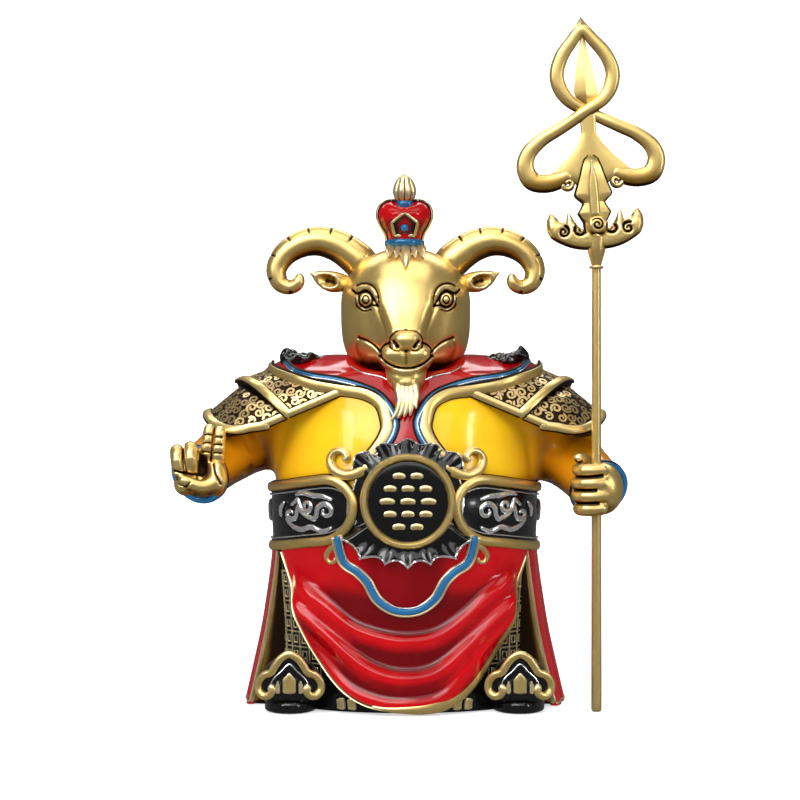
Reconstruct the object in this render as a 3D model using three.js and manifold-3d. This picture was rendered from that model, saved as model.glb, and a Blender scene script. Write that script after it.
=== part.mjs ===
// A cast brass desk figure: a portly goat-headed general in enamelled armour, who holds a tall
// ornamental polearm in the left fist. The figure is one casting, cut flat underneath, and the
// polearm is a second piece that stands on the same surface and passes through the fist.
// Millimetres, +Z up. The figure faces -Y and the origin is the middle of its underside.
import * as THREE from "three";
import { mergeVertices } from "three/addons/utils/BufferGeometryUtils.js";
import Module from "manifold-3d";

const wasm = await Module();
wasm.setup();

// Driving sizes.
const FIGURE_HEIGHT = 140; // underside to the tip of the crown's flame
const POLEARM_HEIGHT = 178.5; // foot of the shaft to the tip of the head
const SHAFT_RADIUS = 1.35; // just above the foot, tapering a little upwards
const GRIP_CLEARANCE = 0.3; // between the shaft and the fist around it

// The figure's pose and carving are shares of its height. One unit is 1/140 of it, so at the
// real height a unit is one millimetre. Everything on the figure below is written in units.
const UNIT = FIGURE_HEIGHT / 140;

// Proportions of the figure, in units.
const SKIRT_TOP = 41.5; // where the skirts leave the belt
const HEAD = { x: 0.3, y: -5, z: 105, wide: 17.1, deep: 15.5, crown: 15.2, jaw: 19.5 };
const MUZZLE = 8; // how far the face runs forward at the nose
const BELT = { top: 57, low: 41.5, rise: 4, start: 0.374, bend: 0.26 };
const MEDALLION = { x: 0.8, z: 54.4, radius: 12.1, rim: 1.9 };
const FIST = { x: 49.3, y: -21.5, z: 57, wide: 6.3, deep: 6.1, tall: 7 };
const OPEN_HAND = { x: -52.6, y: -22.5, z: 58 };
const WRISTS = { left: [50.7, -14.5, 56.8], right: [-53.1, -18.5, 60.7] };
const BOOT = { x: 29.4, front: -27.4, z: 9.3, toe: 8 };

// Girth of the body at a few heights: half its width, its depth in front and its depth behind.
const GIRTHS = [
  [0, 32, 25, 25],
  [20, 32.5, 26, 26],
  [41, 34, 29.5, 27],
  [50, 35, 31.5, 28],
  [60, 34.2, 31, 27.5],
  [70, 33.6, 29, 26],
  [79, 34, 25.5, 24.5],
  [85, 34, 21.5, 22.5],
  [88.6, 30, 18, 20],
  [91, 20, 13.5, 15],
];

const { clamp, smoothstep } = THREE.MathUtils;
const FULL_TURN = 2 * Math.PI;
const FRONT = new THREE.Vector3(0, -1, 0);
const UP = new THREE.Vector3(0, 0, 1);
const SIDES = [-1, 1];
const spot = (x, y, z) => new THREE.Vector3(x, y, z);
const mix = (a, b, t) => a + (b - a) * t;
const bell = (t) => Math.exp(-t * t);

// Turns a closed three.js geometry into a solid, after move has placed each of its vertices.
function solid(geometry, move, scale = UNIT) {
  geometry.deleteAttribute("normal");
  geometry.deleteAttribute("uv");
  const form = mergeVertices(geometry, 1e-4);
  const place = form.getAttribute("position");
  const p = new THREE.Vector3();
  for (let i = 0; i < place.count; i++) {
    p.fromBufferAttribute(place, i);
    place.setXYZ(i, ...move(p.clone()).multiplyScalar(scale).toArray());
  }
  const build = (triVerts) =>
    new wasm.Manifold(new wasm.Mesh({ numProp: 3, vertProperties: place.array, triVerts }));
  const triangles = new Uint32Array(form.index.array);
  const made = build(triangles);
  return made.volume() > 0 ? made : build(triangles.reverse());
}

function join(...solids) {
  return solids.flat(Infinity).reduce((whole, piece) => whole.add(piece));
}

// A round or oval bar along a smooth line. size(t) gives its radius, or its two radii: across
// the line and along face.
function bar(points, size, sides, steps, face = FRONT) {
  const line = new THREE.CatmullRomCurve3(points, false, "centripetal");
  return solid(new THREE.CylinderGeometry(1, 1, 1, sides, steps), (p) => {
    const t = clamp(p.y + 0.5, 0, 1);
    const along = line.getTangentAt(t);
    const deep = face.clone().addScaledVector(along, -face.dot(along)).normalize();
    const across = deep.clone().cross(along);
    const [wide, thick] = [size(t), size(t)].flat();
    return line.getPointAt(t).addScaledVector(across, p.x * wide).addScaledVector(deep, p.z * thick);
  });
}

function ball(centre, radii, around, down) {
  return solid(new THREE.SphereGeometry(1, around, down), (p) => p.multiply(radii).add(centre));
}

// A closed plate: place(u, v, top) gives its upper face for top = 1 and its under face for 0.
function plate(columns, rows, place) {
  return solid(new THREE.BoxGeometry(1, 1, 1, columns, rows, 1), (p) =>
    place(p.x + 0.5, p.y + 0.5, p.z > 0 ? 1 : 0),
  );
}

// A turned form from [radius, height] pairs, upright on centre. swell(angle, z) fluctuates it.
function turned(outline, centre, sides, swell = () => 1) {
  const profile = outline.map(([radius, z]) => new THREE.Vector2(radius, z));
  return solid(new THREE.LatheGeometry(profile, sides), (p) => {
    const out = swell(Math.atan2(p.x, p.z), p.y);
    return spot(centre.x + p.x * out, centre.y - p.z * out, centre.z + p.y);
  });
}

// Body

function girth(z) {
  const above = GIRTHS.findIndex((row) => row[0] >= z);
  if (above === 0) return GIRTHS[0].slice(1);
  if (above < 0) return GIRTHS.at(-1).slice(1);
  const [low, high] = [GIRTHS[above - 1], GIRTHS[above]];
  const t = (z - low[0]) / (high[0] - low[0]);
  return [1, 2, 3].map((i) => mix(low[i], high[i], t));
}

// A point on the body, or proud of it. Angle 0 is the front, and +X is at a quarter turn.
function onBody(angle, z, proud = 0) {
  const [wide, front, back] = girth(z);
  const deep = Math.cos(angle) > 0 ? front : back;
  return spot((wide + proud) * Math.sin(angle), -(deep + proud) * Math.cos(angle), z);
}

// The point on the front of the body that is seen at x, z.
function onFront(x, z, proud = 0) {
  const [wide] = girth(z);
  return onBody(Math.asin(clamp(x / (wide + proud), -0.999, 0.999)), z, proud);
}

// The robe leaves the belt at the sides and flares to the ground, pleated all the way round the
// back. Its two front edges stand open over the legs.
const ROBE_COLUMNS = 28;
function robeOpening(side, z) {
  const [low, high] = side < 0 ? [1.34, 1.26] : [1.24, 1.15];
  return mix(low, high, clamp(z / SKIRT_TOP, 0, 1));
}

function robeFlare(angle, z) {
  const down = 1 - clamp(z / SKIRT_TOP, 0, 1);
  return 1.2 + 9 * down ** 1.15 * mix(0.62, 1, Math.abs(Math.sin(angle)));
}

function body() {
  const levels = [-1, 9, 20, 31, SKIRT_TOP, 50, 60, 70, 79, 85, 88.6, 91];
  const outline = [
    new THREE.Vector2(0, levels[0]),
    ...levels.map((z) => new THREE.Vector2(1, z)),
    new THREE.Vector2(0, 92),
  ];
  const legColumns = 4; // to each side of the middle
  return solid(new THREE.LatheGeometry(outline, ROBE_COLUMNS), (p) => {
    const z = p.y;
    if (Math.hypot(p.x, p.z) < 0.5) return spot(0, 0, z);
    const column = Math.round((Math.atan2(p.x, p.z) / FULL_TURN) * ROBE_COLUMNS);
    const [place, side] = [Math.abs(column), Math.sign(column) || 1];
    const open = robeOpening(side, z);
    const backShare = (place - legColumns - 1) / (ROBE_COLUMNS / 2 - legColumns - 1);
    if (place <= legColumns) return onBody(side * open * (place / legColumns), z);
    const angle = side * mix(open + 0.07, Math.PI, backShare);
    if (z > SKIRT_TOP) return onBody(angle, z);
    const pleat = (place % 2 ? 0.6 : -0.6) * (1 - z / SKIRT_TOP);
    return onBody(angle, z, robeFlare(angle, z) + pleat);
  });
}

// Head

// The skull is an egg with heavy cheeks, and the face runs forward from the brow to the nose.
function head() {
  return solid(new THREE.SphereGeometry(1, 18, 13), (p) => {
    const power = p.y < 0 ? 4 : 2.3;
    const reach = Math.max(0, 1 - Math.abs(p.y) ** power) ** (1 / power);
    const around = Math.atan2(p.x, p.z);
    const turn = around - 0.45 * Math.sin(around);
    const x = HEAD.wide * reach * Math.sin(turn);
    const down = smoothstep(-p.y, -0.5, 0.5);
    const facing = smoothstep(Math.cos(turn), 0, 0.7) * smoothstep(reach, 0, 0.6);
    const muzzle = MUZZLE * down * bell(x / mix(5, 7, down)) * facing;
    const tall = p.y < 0 ? HEAD.jaw : HEAD.crown;
    return spot(HEAD.x + x, HEAD.y - HEAD.deep * reach * Math.cos(turn) - muzzle, HEAD.z + tall * p.y);
  });
}

function mouth() {
  const x = HEAD.x + 0.3;
  const nose = ball(spot(x, -27.2, 95.2), spot(3.9, 2.6, 2.7), 8, 5);
  const lips = SIDES.map((side) => ball(spot(x + 3.1 * side, -24.8, 91), spot(3.9, 4, 3.3), 8, 5));
  const chin = ball(spot(x, -23, 86.6), spot(4.4, 4.6, 3.6), 8, 5);
  const nostrils = SIDES.map((side) => ball(spot(x + 2.6 * side, -29.5, 94.1), spot(1, 0.9, 0.7), 5, 3));
  return nostrils.reduce((whole, hole) => whole.subtract(hole), join(nose, lips, chin));
}

// The beard hangs from the chin over the collar and ends in a curl.
function beard() {
  const x = HEAD.x + 0.3;
  return bar(
    [spot(x, -23.5, 87), spot(x + 0.3, -26.8, 82), spot(x + 0.6, -28.6, 78.4), spot(x - 1.6, -29.4, 75.2)],
    (t) => [0.3 + 2.5 * Math.sin(Math.PI * mix(0.35, 0.98, t)), 0.3 + 1.7 * (1 - t)],
    6,
    5,
  );
}

function eye(side) {
  return ball(spot(HEAD.x + 10.4 * side, -16.4, 106), spot(2.7, 2.4, 2.2), 8, 4);
}

function horn(side) {
  const points = [
    [10, -2, 114.6],
    [13.6, -2, 118],
    [18, -2, 120.9],
    [23, -2.3, 122.2],
    [27.9, -2.8, 121.3],
    [32.2, -3.4, 118.4],
    [34.2, -4, 114.4],
    [33.2, -4.6, 111],
    [30.7, -5.1, 109.8],
    [28.6, -5.6, 110.7],
    [27.7, -6, 113.4],
  ].map(([x, y, z]) => spot(HEAD.x + x * side, y, z));
  return bar(points, (t) => 4.7 * (1 - t) ** 0.5 + 0.4, 7, 16);
}

// The ear is a short stalk that opens into a leaf, hollow in front.
function ear(side) {
  const leaf = bar(
    [spot(13 * side, -4.5, 110.8), spot(19.5 * side, -6.8, 111.3), spot(24.8 * side, -8, 113.5)],
    (t) => [
      mix(2.2, 0.3, t) + 1.2 * bell((t - 0.55) / 0.22),
      mix(1.8, 0.4, t) + 0.6 * bell((t - 0.6) / 0.2),
    ],
    6,
    5,
  );
  return leaf.subtract(ball(spot(20.8 * side, -9.4, 111.7), spot(2.4, 1.4, 1.8), 6, 4));
}

// The crown is a small turned bulb between two rings, with a fluted flame on top.
function crown() {
  const profile = [
    [0, 117], [4.6, 117], [4.7, 120.4], [5.3, 120.8], [5.3, 122.2], [4.9, 122.6], [7.1, 126.4],
    [7.5, 129.4], [5.9, 132], [2.7, 132.4], [3.2, 135.2], [2.2, 138], [0, 140],
  ];
  const ribs = (angle, z) => 1 + (z > 124 ? 0.03 * Math.cos(6 * angle) : 0);
  return turned(profile, spot(0, -4.5, 0), 12, ribs);
}

// Locks of hair that fall on the forehead from under the crown.
function forelock() {
  return [-1, 0, 1].map((i) =>
    bar(
      [spot(2.2 * i, -9, 121.5), spot(3 * i + 0.3, -12.4, 119.4), spot(3.3 * i, -14.6, 117 - (i ? 0 : 1.6))],
      (t) => 0.25 + 1.3 * (1 - t),
      4,
      3,
    ),
  );
}

// Collar and shoulders

// The raised border of the mantle, from the tip of the shoulder down the chest to the belt.
function mantle(side) {
  const seen = [[27.5, 87.6], [18, 85.6], [9.4, 82.6], [5.2, 78], [4, 73.2], [6.2, 67.6], [10, 62.5]];
  const edge = [
    spot(32.8 * side, -1, 90),
    ...seen.map(([x, z]) => onFront(x * side + 0.4, z, 0.2)),
  ];
  return bar(edge, () => [1.5, 0.9], 4, 11);
}

// Curly fur stands along the top of the shoulders and round the nape.
function fur(side) {
  const points = [
    [34.2, -2.4, 91.7], [30.5, -3, 91.7], [25.5, -3.2, 90.6], [20.4, -1, 90.3],
    [16, 5, 90.6], [9, 14.2, 91], [-1, 17.2, 91],
  ];
  return bar(
    points.map(([x, y, z]) => spot(x * side, y, z)),
    (t) => 1.7 + 0.7 * bell((t - 0.06) / 0.12) + 0.25 * Math.sin(4 * FULL_TURN * t),
    5,
    12,
    UP,
  );
}

// Shoulder armour in two tiers, which bend over the shoulder: angle 0 is the top of a tier, and a
// quarter turn its lower edge in front and behind. Lengths run down the arm from the collar.
const SHOULDER = { x: 15.6, z: 81.3, alongX: 0.92, alongZ: -0.39, rise: 13.7, deep: 20 };
const tierStart = (share) => mix(14.5, -0.6, share);
const upperEnd = (share) => mix(25.6, 15.6, share);
const lowerEnd = (share) => 16.9 + 19.6 * Math.sqrt(1 - share ** 3);

function onShoulder(side, along, angle, proud) {
  const { x, z, alongX, alongZ, rise, deep } = SHOULDER;
  const up = (rise + proud) * Math.cos(angle) - 0.33 * Math.max(0, along - 25);
  return spot(
    side * (x + alongX * along - alongZ * up),
    -(deep + proud) * Math.sin(angle),
    z + alongZ * along + alongX * up,
  );
}

function shoulderArmour(side) {
  const band = 1.8; // width of the border along each tier's lower edge
  return plate(6, 8, (u, v, top) => {
    const angle = Math.PI * 0.98 * (v - 0.5);
    const share = Math.abs(angle) / (Math.PI / 2);
    const [start, middle, end] = [tierStart, upperEnd, lowerEnd].map((at) => at(Math.min(1, share)));
    const inner = Math.min(middle + 0.5, end - 0.2);
    const route = [
      [start, 0.9],
      [middle - band, 1.2],
      [middle - band + 0.2, 2],
      [middle, 2],
      [inner, -0.4],
      [Math.max(inner + 0.1, end - band), 0.1],
      [Math.max(inner + 0.2, end), 0.9],
    ];
    const [along, proud] = route[Math.round(u * 6)];
    return onShoulder(side, along, angle, top ? proud : -7);
  });
}

// Arms and hands

function arm(side, wrist) {
  const points = [
    [24 * side, 1, 79], [36 * side, 3, 73.5], [45.5 * side, 2.5, 67], [50.5 * side, -7, 63], wrist,
  ];
  const cuff = (t) => 0.9 * smoothstep(t, 0.86, 0.97);
  return bar(points.map((p) => spot(...p)), (t) => mix(11, 7.4, t) + cuff(t), 10, 7, UP);
}

// The closed hand is a rounded block, ridged by its four fingers, with the thumb laid behind.
function closedHand() {
  const { x, y, z, wide, deep, tall } = FIST;
  const rows = [0.55, 1, 0.87, 1, 0.87, 1, 0.87, 1, 0.55];
  const heights = rows.map((reach, i) => [reach, tall * (i / 4 - 1)]);
  const block = solid(
    new THREE.LatheGeometry([[0, -tall], ...heights, [0, tall]].map((p) => new THREE.Vector2(...p)), 12),
    (p) => {
      const square = Math.max(Math.abs(p.x), Math.abs(p.z)) ** 0.25 / Math.hypot(p.x, p.z, 1e-9) ** 0.25;
      return spot(x + (wide * p.x) / (square || 1), y - (deep * p.z) / (square || 1), z + p.y);
    },
  );
  const thumb = bar(
    [spot(x + 2, y + 5, z + 5), spot(x - 2.6, y + 2.4, z + 7.2), spot(x - 4.6, y - 1.4, z + 7.4)],
    (t) => mix(2.1, 1.5, t),
    5,
    3,
    UP,
  );
  return join(block, thumb);
}

// The other hand shows its palm, with two fingers raised and the thumb laid over the last two.
function openHand() {
  const { x, y, z } = OPEN_HAND;
  const finger = (route, thick, steps) =>
    bar(
      route.map(([dx, dy, dz]) => spot(x + dx, y + dy, z + dz)),
      (t) => mix(thick, 1.6, t),
      6,
      steps,
      spot(1, 0, 0),
    );
  const raised = [[1.6, 2.2, 15.4], [5, 5.2, 14.8]].map(([from, to, tall]) =>
    finger([[from, -1, 2], [mix(from, to, 0.5), -2.2, tall / 2], [to, -1.8, tall]], 1.9, 3),
  );
  const folded = [-5.7, -2.1].map((dx) =>
    finger(
      [[dx, -0.4, 2], [dx, -0.4, 8], [dx, -3.4, 10], [dx + 0.2, -5.6, 7], [dx + 0.5, -4.8, 2.8]],
      1.75,
      6,
    ),
  );
  const route = [[5.8, -1.6, 0.5], [3, -5, 0.9], [-1.5, -6.3, 0.9], [-4.6, -6, 1.5]];
  const thumb = bar(
    route.map(([dx, dy, dz]) => spot(x + dx, y + dy, z + dz)),
    (t) => mix(2.5, 1.5, t),
    5,
    4,
    UP,
  );
  return [ball(spot(x, y, z), spot(6.8, 5.4, 5.6), 10, 6), raised, folded, thumb];
}

// Belt, medallion and fringe

// The belt climbs a little towards the front, where it ends in half-rounds. Its face is dished
// between two raised borders.
function belt() {
  const columns = 26;
  const rounded = 3; // columns that make each half-round end
  return plate(columns, 3, (u, v, top) => {
    const column = Math.round(u * columns);
    const fromEnd = Math.min(column, columns - column);
    const share = Math.min(1, (fromEnd + 0.4) / (rounded + 0.4));
    const round = Math.sin((share * Math.PI) / 2);
    const bend = BELT.bend * (1 - Math.cos((Math.min(1, fromEnd / rounded) * Math.PI) / 2));
    const straight = Math.max(0, fromEnd - rounded) / (columns / 2 - rounded);
    const turn = BELT.start + bend + straight * (Math.PI - BELT.start - BELT.bend);
    const angle = column <= columns / 2 ? turn : FULL_TURN - turn;
    const climb = BELT.rise * Math.max(0, Math.cos(angle)) ** 2;
    const high = BELT.top + climb;
    const low = BELT.low + 0.9 * climb;
    const row = [0, 0.13, 0.87, 1][Math.round(v * 3)];
    const dished = fromEnd > 0 && row > 0 && row < 1;
    const z = (high + low) / 2 + (row - 0.5) * (high - low) * round;
    return onBody(angle, z, top ? (dished ? 1 : 2) : -3);
  });
}

const medallionFace = onFront(MEDALLION.x, MEDALLION.z).y - 2.4;

function medallion() {
  const { x, z, radius, rim } = MEDALLION;
  const profile = [
    [0, 0], [radius - rim, 0], [radius - 0.8 * rim, 1], [radius - 0.2 * rim, 1],
    [radius, 0], [radius, -6], [0, -6],
  ].map(([r, out]) => new THREE.Vector2(r, out));
  return solid(new THREE.LatheGeometry(profile, 24), (p) => spot(x + p.x, medallionFace - p.y, z - p.z));
}

// A pleated fringe stands round the medallion, in soft lobes above and in points below.
function fringe() {
  const { x, z } = MEDALLION;
  const spokes = 40;
  const edge = (angle, spoke) => {
    const lobes = 0.6 * Math.cos(9 * (angle - Math.PI / 2)) * Math.max(0, Math.sin(angle));
    const reach = 15.6 + 1.6 * Math.cos(angle) ** 2 + lobes + (Math.sin(angle) < -0.3 && spoke % 2 ? 1 : 0);
    return onFront(x + reach * Math.cos(angle), z + reach * Math.sin(angle), spoke % 2 ? 1.9 : 1.2);
  };
  return solid(new THREE.CylinderGeometry(1, 1, 1, spokes, 1), (p) => {
    const angle = Math.atan2(p.z, p.x);
    const spoke = Math.round((angle / FULL_TURN) * spokes + spokes);
    const outer = Math.hypot(p.x, p.z) > 0.5 ? edge(angle, spoke) : onFront(x, z, 2);
    return p.y < 0 ? outer : outer.add(spot(0, 5, 0));
  });
}

// Scroll hooks, a pair above the belt and a smaller pair below it.
function hooks(side) {
  const upper = [[14, 61.2], [17.7, 61.8], [19.4, 64.3], [18.2, 66.6], [16.2, 66.6], [16, 64.8]];
  const lower = [[16.9, 43], [18.8, 42.4], [20.5, 41], [20.3, 39.2], [18.9, 39.4]];
  const scroll = (seen, thick) =>
    bar(seen.map(([x, z]) => onFront(x * side + 0.5, z, 0.9)), (t) => thick * mix(1, 0.55, t), 4, 7);
  return [scroll(upper, 1.15), scroll(lower, 0.9)];
}

// Skirts

// The front drape hangs in a deep curve to the ground, folded in swags. Its lower edge runs from
// the ground in the middle, for a share of 0, nearly to the belt at each side, for a share of 1.
const DRAPE = { reach: 1.13, flare: 3.2, ground: 0.6 };
const hem = (share) => mix(DRAPE.ground, SKIRT_TOP - 1, Math.abs(share) ** 2.8);

function drape() {
  const rows = [
    [0, 1.6], [0.05, 2.3], [0.16, 0.4], [0.28, 1.9], [0.37, 0.4], [0.46, 1.6], [0.6, 0.3], [1, 0],
  ];
  return plate(14, rows.length - 1, (u, v, top) => {
    const across = 2 * u - 1;
    const angle = across * DRAPE.reach;
    const [share, swag] = rows[Math.round(v * (rows.length - 1))];
    const z = mix(hem(Math.sin(angle) / Math.sin(DRAPE.reach)), SKIRT_TOP + 4, share);
    const flare = DRAPE.flare * (1 - z / 44) ** 2 + 1.4;
    return onBody(angle, z, top ? flare + swag * (1 - Math.abs(across) ** 2.5) : -4);
  });
}

// The wavy border of the cloth that hangs under the medallion.
function bellyCloth() {
  const half = [[17.6, 43], [15.6, 38.8], [12.3, 36.5], [9.8, 34], [7.3, 29.7], [3.7, 27.1]];
  const seen = [...half.map(([x, z]) => [-x, z]), [0, 26.5], ...half.reverse()];
  const line = seen.map(([x, z]) => onFront(x + 0.3, z, 2.4 + DRAPE.flare * (1 - z / 44) ** 2));
  return bar(line, () => [1.4, 0.9], 4, 20);
}

// A boot over a thick sole, with a cloud-shaped toe plate sunk inside a raised border.
function boot(side) {
  const { x, front, z } = BOOT;
  const sole = solid(new THREE.CylinderGeometry(1, 1, 4.3, 10, 1), (p) =>
    spot(side * (x - 0.4) + 6.7 * p.x, front + 10.4 - 10.6 * p.z, 1.15 + p.y),
  );
  const upper = ball(spot(side * x, front + 11.5, 6), spot(7.4, 10, 8), 9, 5);
  const outline = (scale) => {
    const half = [[6.6, -5.6], [7.9, -2.9], [6.4, 0.3], [3.4, 3.1], [0, 5.9]];
    const round = [...half, ...half.slice(0, -1).reverse().map(([px, pz]) => [-px, pz])];
    return new THREE.Shape(round.map(([px, pz]) => new THREE.Vector2(px * scale, pz * scale)));
  };
  const block = (scale, from, depth) =>
    solid(new THREE.ExtrudeGeometry(outline(scale), { depth, bevelEnabled: false }), (p) =>
      spot(side * x + p.x, front + from + depth - p.z, z + p.y),
    );
  return join(sole, upper, block(1, 0, BOOT.toe)).subtract(block(0.78, -1, 1.9));
}

function figure() {
  const whole = join(
    body(),
    head(),
    mouth(),
    beard(),
    crown(),
    forelock(),
    belt(),
    fringe(),
    medallion(),
    drape(),
    bellyCloth(),
    SIDES.map((side) => [
      eye(side),
      horn(side),
      ear(side),
      mantle(side),
      fur(side),
      shoulderArmour(side),
      hooks(side),
      boot(side),
    ]),
    arm(1, WRISTS.left),
    arm(-1, WRISTS.right),
    closedHand(),
    openHand(),
  );
  const room = 3 * FIGURE_HEIGHT;
  const above = solid(new THREE.BoxGeometry(room, room, room), (p) => p.add(spot(0, 0, room / 2)), 1);
  return whole.intersect(above).subtract(gripHole());
}

// Polearm, in millimetres. It stands on the ground and passes through the middle of the fist.

const degrees = Math.PI / 180;
const HEAD_LEAN = 4 * degrees; // of the ornamental head, towards the figure
const HEAD_LENGTH = 58.3; // from its foot on the shaft to its tip
const HEAD_THICKNESS = 2.6;
const HEAD_UNIT = HEAD_LENGTH / 58.3; // the outlines of the head are written for this length
const HEAD_FOOT = POLEARM_HEIGHT - HEAD_LENGTH * Math.cos(HEAD_LEAN); // where it meets the shaft
const fistHeight = FIST.z * UNIT;
const shaftX = FIST.x * UNIT;

function rod(low, high, radiusLow, radiusHigh) {
  return solid(
    new THREE.CylinderGeometry(radiusHigh, radiusLow, high - low, 12),
    (p) => spot(shaftX + p.x, FIST.y * UNIT + p.z, (low + high) / 2 + p.y),
    1,
  );
}

function gripHole() {
  const radius = SHAFT_RADIUS + GRIP_CLEARANCE;
  return rod(fistHeight - 12 * UNIT, fistHeight + 12 * UNIT, radius, radius);
}

// Places a point of the polearm's head: x across, y behind and z up from its foot.
function onHead(x, y, z) {
  const [c, s] = [Math.cos(HEAD_LEAN), Math.sin(HEAD_LEAN)];
  return spot(shaftX + x * c - z * s, FIST.y * UNIT + y, HEAD_FOOT + x * s + z * c);
}

// A flat casting from an outline and its openings, centred on the plane of the head.
function headPlate(outline, openings, thick) {
  const turnsRight = THREE.ShapeUtils.isClockWise(outline);
  const shape = new THREE.Shape(turnsRight ? outline.reverse() : outline);
  shape.holes = openings.map((points) => new THREE.Path(points));
  const form = new THREE.ExtrudeGeometry(shape, { depth: thick, bevelEnabled: false });
  return solid(form, (p) => onHead(p.x, p.z - thick / 2, p.y), 1);
}

const flat = (points) => points.map(([x, z]) => new THREE.Vector2(x * HEAD_UNIT, z * HEAD_UNIT));
const smooth = (points, count) => new THREE.SplineCurve(flat(points)).getPoints(count);
const mirrored = (points) => points.map((p) => new THREE.Vector2(-p.x, p.y)).reverse();

function polearmHead() {
  // One ribbon makes the ornament: a pointed loop above and two hanging loops below it.
  const loopEdge = smooth([[0, 58.3], [2.2, 54.4], [6.6, 49.2], [8.65, 43.8], [7.9, 39.6], [4.6, 34.6]], 8);
  const lobeEdge = smooth(
    [[5.4, 32.6], [8.6, 31], [13.3, 28.5], [17.7, 25.2], [19.3, 20.6], [16.9, 15.2], [12, 13.7], [8.6, 14.8]],
    11,
  );
  const curlEdge = flat([[7.2, 13.9], [4.8, 13.8], [3, 12.2]]);
  const half = [...loopEdge, ...lobeEdge, ...curlEdge];
  const window = smooth([[0, 53.4], [2.6, 50.6], [4.9, 47.4], [5.8, 43.6], [4.6, 39.6], [0, 36.2]], 7);
  const lobe = smooth(
    [
      [1.8, 30], [1.9, 27], [3.6, 23.9], [6.4, 20.9], [11, 18.6], [14.2, 18.9],
      [15.1, 21], [14.2, 23.2], [11.6, 25.6], [6.6, 28.8], [3.2, 30.6],
    ],
    12,
  );
  const ornament = headPlate(
    [...half, ...mirrored(half).slice(0, -1)],
    [[...window, ...mirrored(window).slice(1, -1)], lobe, mirrored(lobe)],
    HEAD_THICKNESS,
  );
  const spearhead = headPlate(flat([[-3.1, 38.4], [0, 54.4], [3.1, 38.4], [0, 35.6]]), [], 1.5);
  const side = flat([[0, 22.9], [1.9, 20.4], [4.5, 12.7], [2.6, 11.4], [3.6, 9], [2.6, 7], [2.4, 1]]);
  const blade = headPlate([...side, ...mirrored(side).slice(0, -1)], [], HEAD_THICKNESS + 0.8);
  const wing = flat([
    [2.4, -2], [6, -1.3], [10, 1.2], [12.2, 3.8], [11.2, 8.3],
    [9.6, 6], [8.4, 5.7], [6.6, 8.5], [5.2, 6], [2.6, 5.6],
  ]);
  const crescent = headPlate([...wing, ...mirrored(wing)], [], HEAD_THICKNESS + 1.4);
  return [ornament, spearhead, blade, crescent];
}

function polearm() {
  const neck = 4; // length of the flare that carries the head
  const top = SHAFT_RADIUS * 0.86;
  return join(
    rod(0, HEAD_FOOT, SHAFT_RADIUS, top),
    rod(HEAD_FOOT - neck, HEAD_FOOT + 2, top, 1.8 * top),
    polearmHead(),
  );
}

function node(name, shape, material) {
  const data = shape.getMesh();
  const geometry = new THREE.BufferGeometry();
  geometry.setAttribute("position", new THREE.BufferAttribute(data.vertProperties, 3));
  geometry.setIndex(new THREE.BufferAttribute(data.triVerts, 1));
  const mesh = new THREE.Mesh(geometry, material);
  mesh.name = name;
  return mesh;
}

const gilt = new THREE.MeshStandardMaterial({ color: 0xc79a3a, roughness: 0.32, metalness: 1 });
const enamel = new THREE.MeshStandardMaterial({ color: 0xb81414, roughness: 0.12, metalness: 0.2 });

const group = new THREE.Group();
group.add(node("figure", figure(), enamel));
group.add(node("polearm", polearm(), gilt));
export default group;
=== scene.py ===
"""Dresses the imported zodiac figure: carved head and hands, armour, enamelled robes and polearm.

Everything on the figure is written in units of 1/140 of its height, as in the part's source, so
one unit is a millimetre at the real size. The figure faces -Y.
"""
import math

import bpy
import numpy as np
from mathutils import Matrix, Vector


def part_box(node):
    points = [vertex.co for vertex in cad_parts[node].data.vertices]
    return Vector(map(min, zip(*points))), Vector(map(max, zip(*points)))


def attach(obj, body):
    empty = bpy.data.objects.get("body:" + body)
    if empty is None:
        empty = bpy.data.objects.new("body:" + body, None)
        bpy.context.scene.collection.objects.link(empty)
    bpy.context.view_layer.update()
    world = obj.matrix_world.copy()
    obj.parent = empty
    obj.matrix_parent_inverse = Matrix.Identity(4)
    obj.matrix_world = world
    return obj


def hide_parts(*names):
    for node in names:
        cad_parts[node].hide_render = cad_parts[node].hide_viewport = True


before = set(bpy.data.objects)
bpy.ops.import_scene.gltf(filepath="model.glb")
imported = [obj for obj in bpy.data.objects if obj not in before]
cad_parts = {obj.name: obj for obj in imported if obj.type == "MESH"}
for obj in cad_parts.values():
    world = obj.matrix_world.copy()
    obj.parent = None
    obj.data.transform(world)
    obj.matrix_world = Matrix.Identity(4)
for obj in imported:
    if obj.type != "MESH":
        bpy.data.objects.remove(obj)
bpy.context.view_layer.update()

bl_info = {
    "name": "Goat General Desk Figure",
    "version": (1, 0, 0),
    "blender": (4, 5, 0),
    "location": "3D View > Sidebar > Figure",
    "description": "Dresses a cast brass zodiac figure in carving, gilding and enamel",
    "category": "Object",
}

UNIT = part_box("figure")[1][2] / 140
FRONT = np.array([0.0, -1.0, 0.0])
UP = np.array([0.0, 0.0, 1.0])
SIDES = (-1, 1)
QUARTER = math.pi / 2
FAR = 9.0  # a distance beyond the reach of any carving, in units

# Proportions shared by several pieces, in units.
SKIRT_TOP = 41.5
HEAD = np.array([0.3, -5.0, 105.0])
MEDALLION = {"x": 0.8, "z": 54.4, "radius": 12.1, "rim": 1.9}
FIST = np.array([49.3, -21.5, 57.0])
PALM = np.array([-52.4, -22.5, 60.5])
BOOT = {"x": 29.4, "front": -27.4, "z": 9.3}
MIDDLE = 0.4  # where the middle of the chest and of the belt is, by x
ROUND = 31.0  # the body's radius where widths are turned into angles
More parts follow.
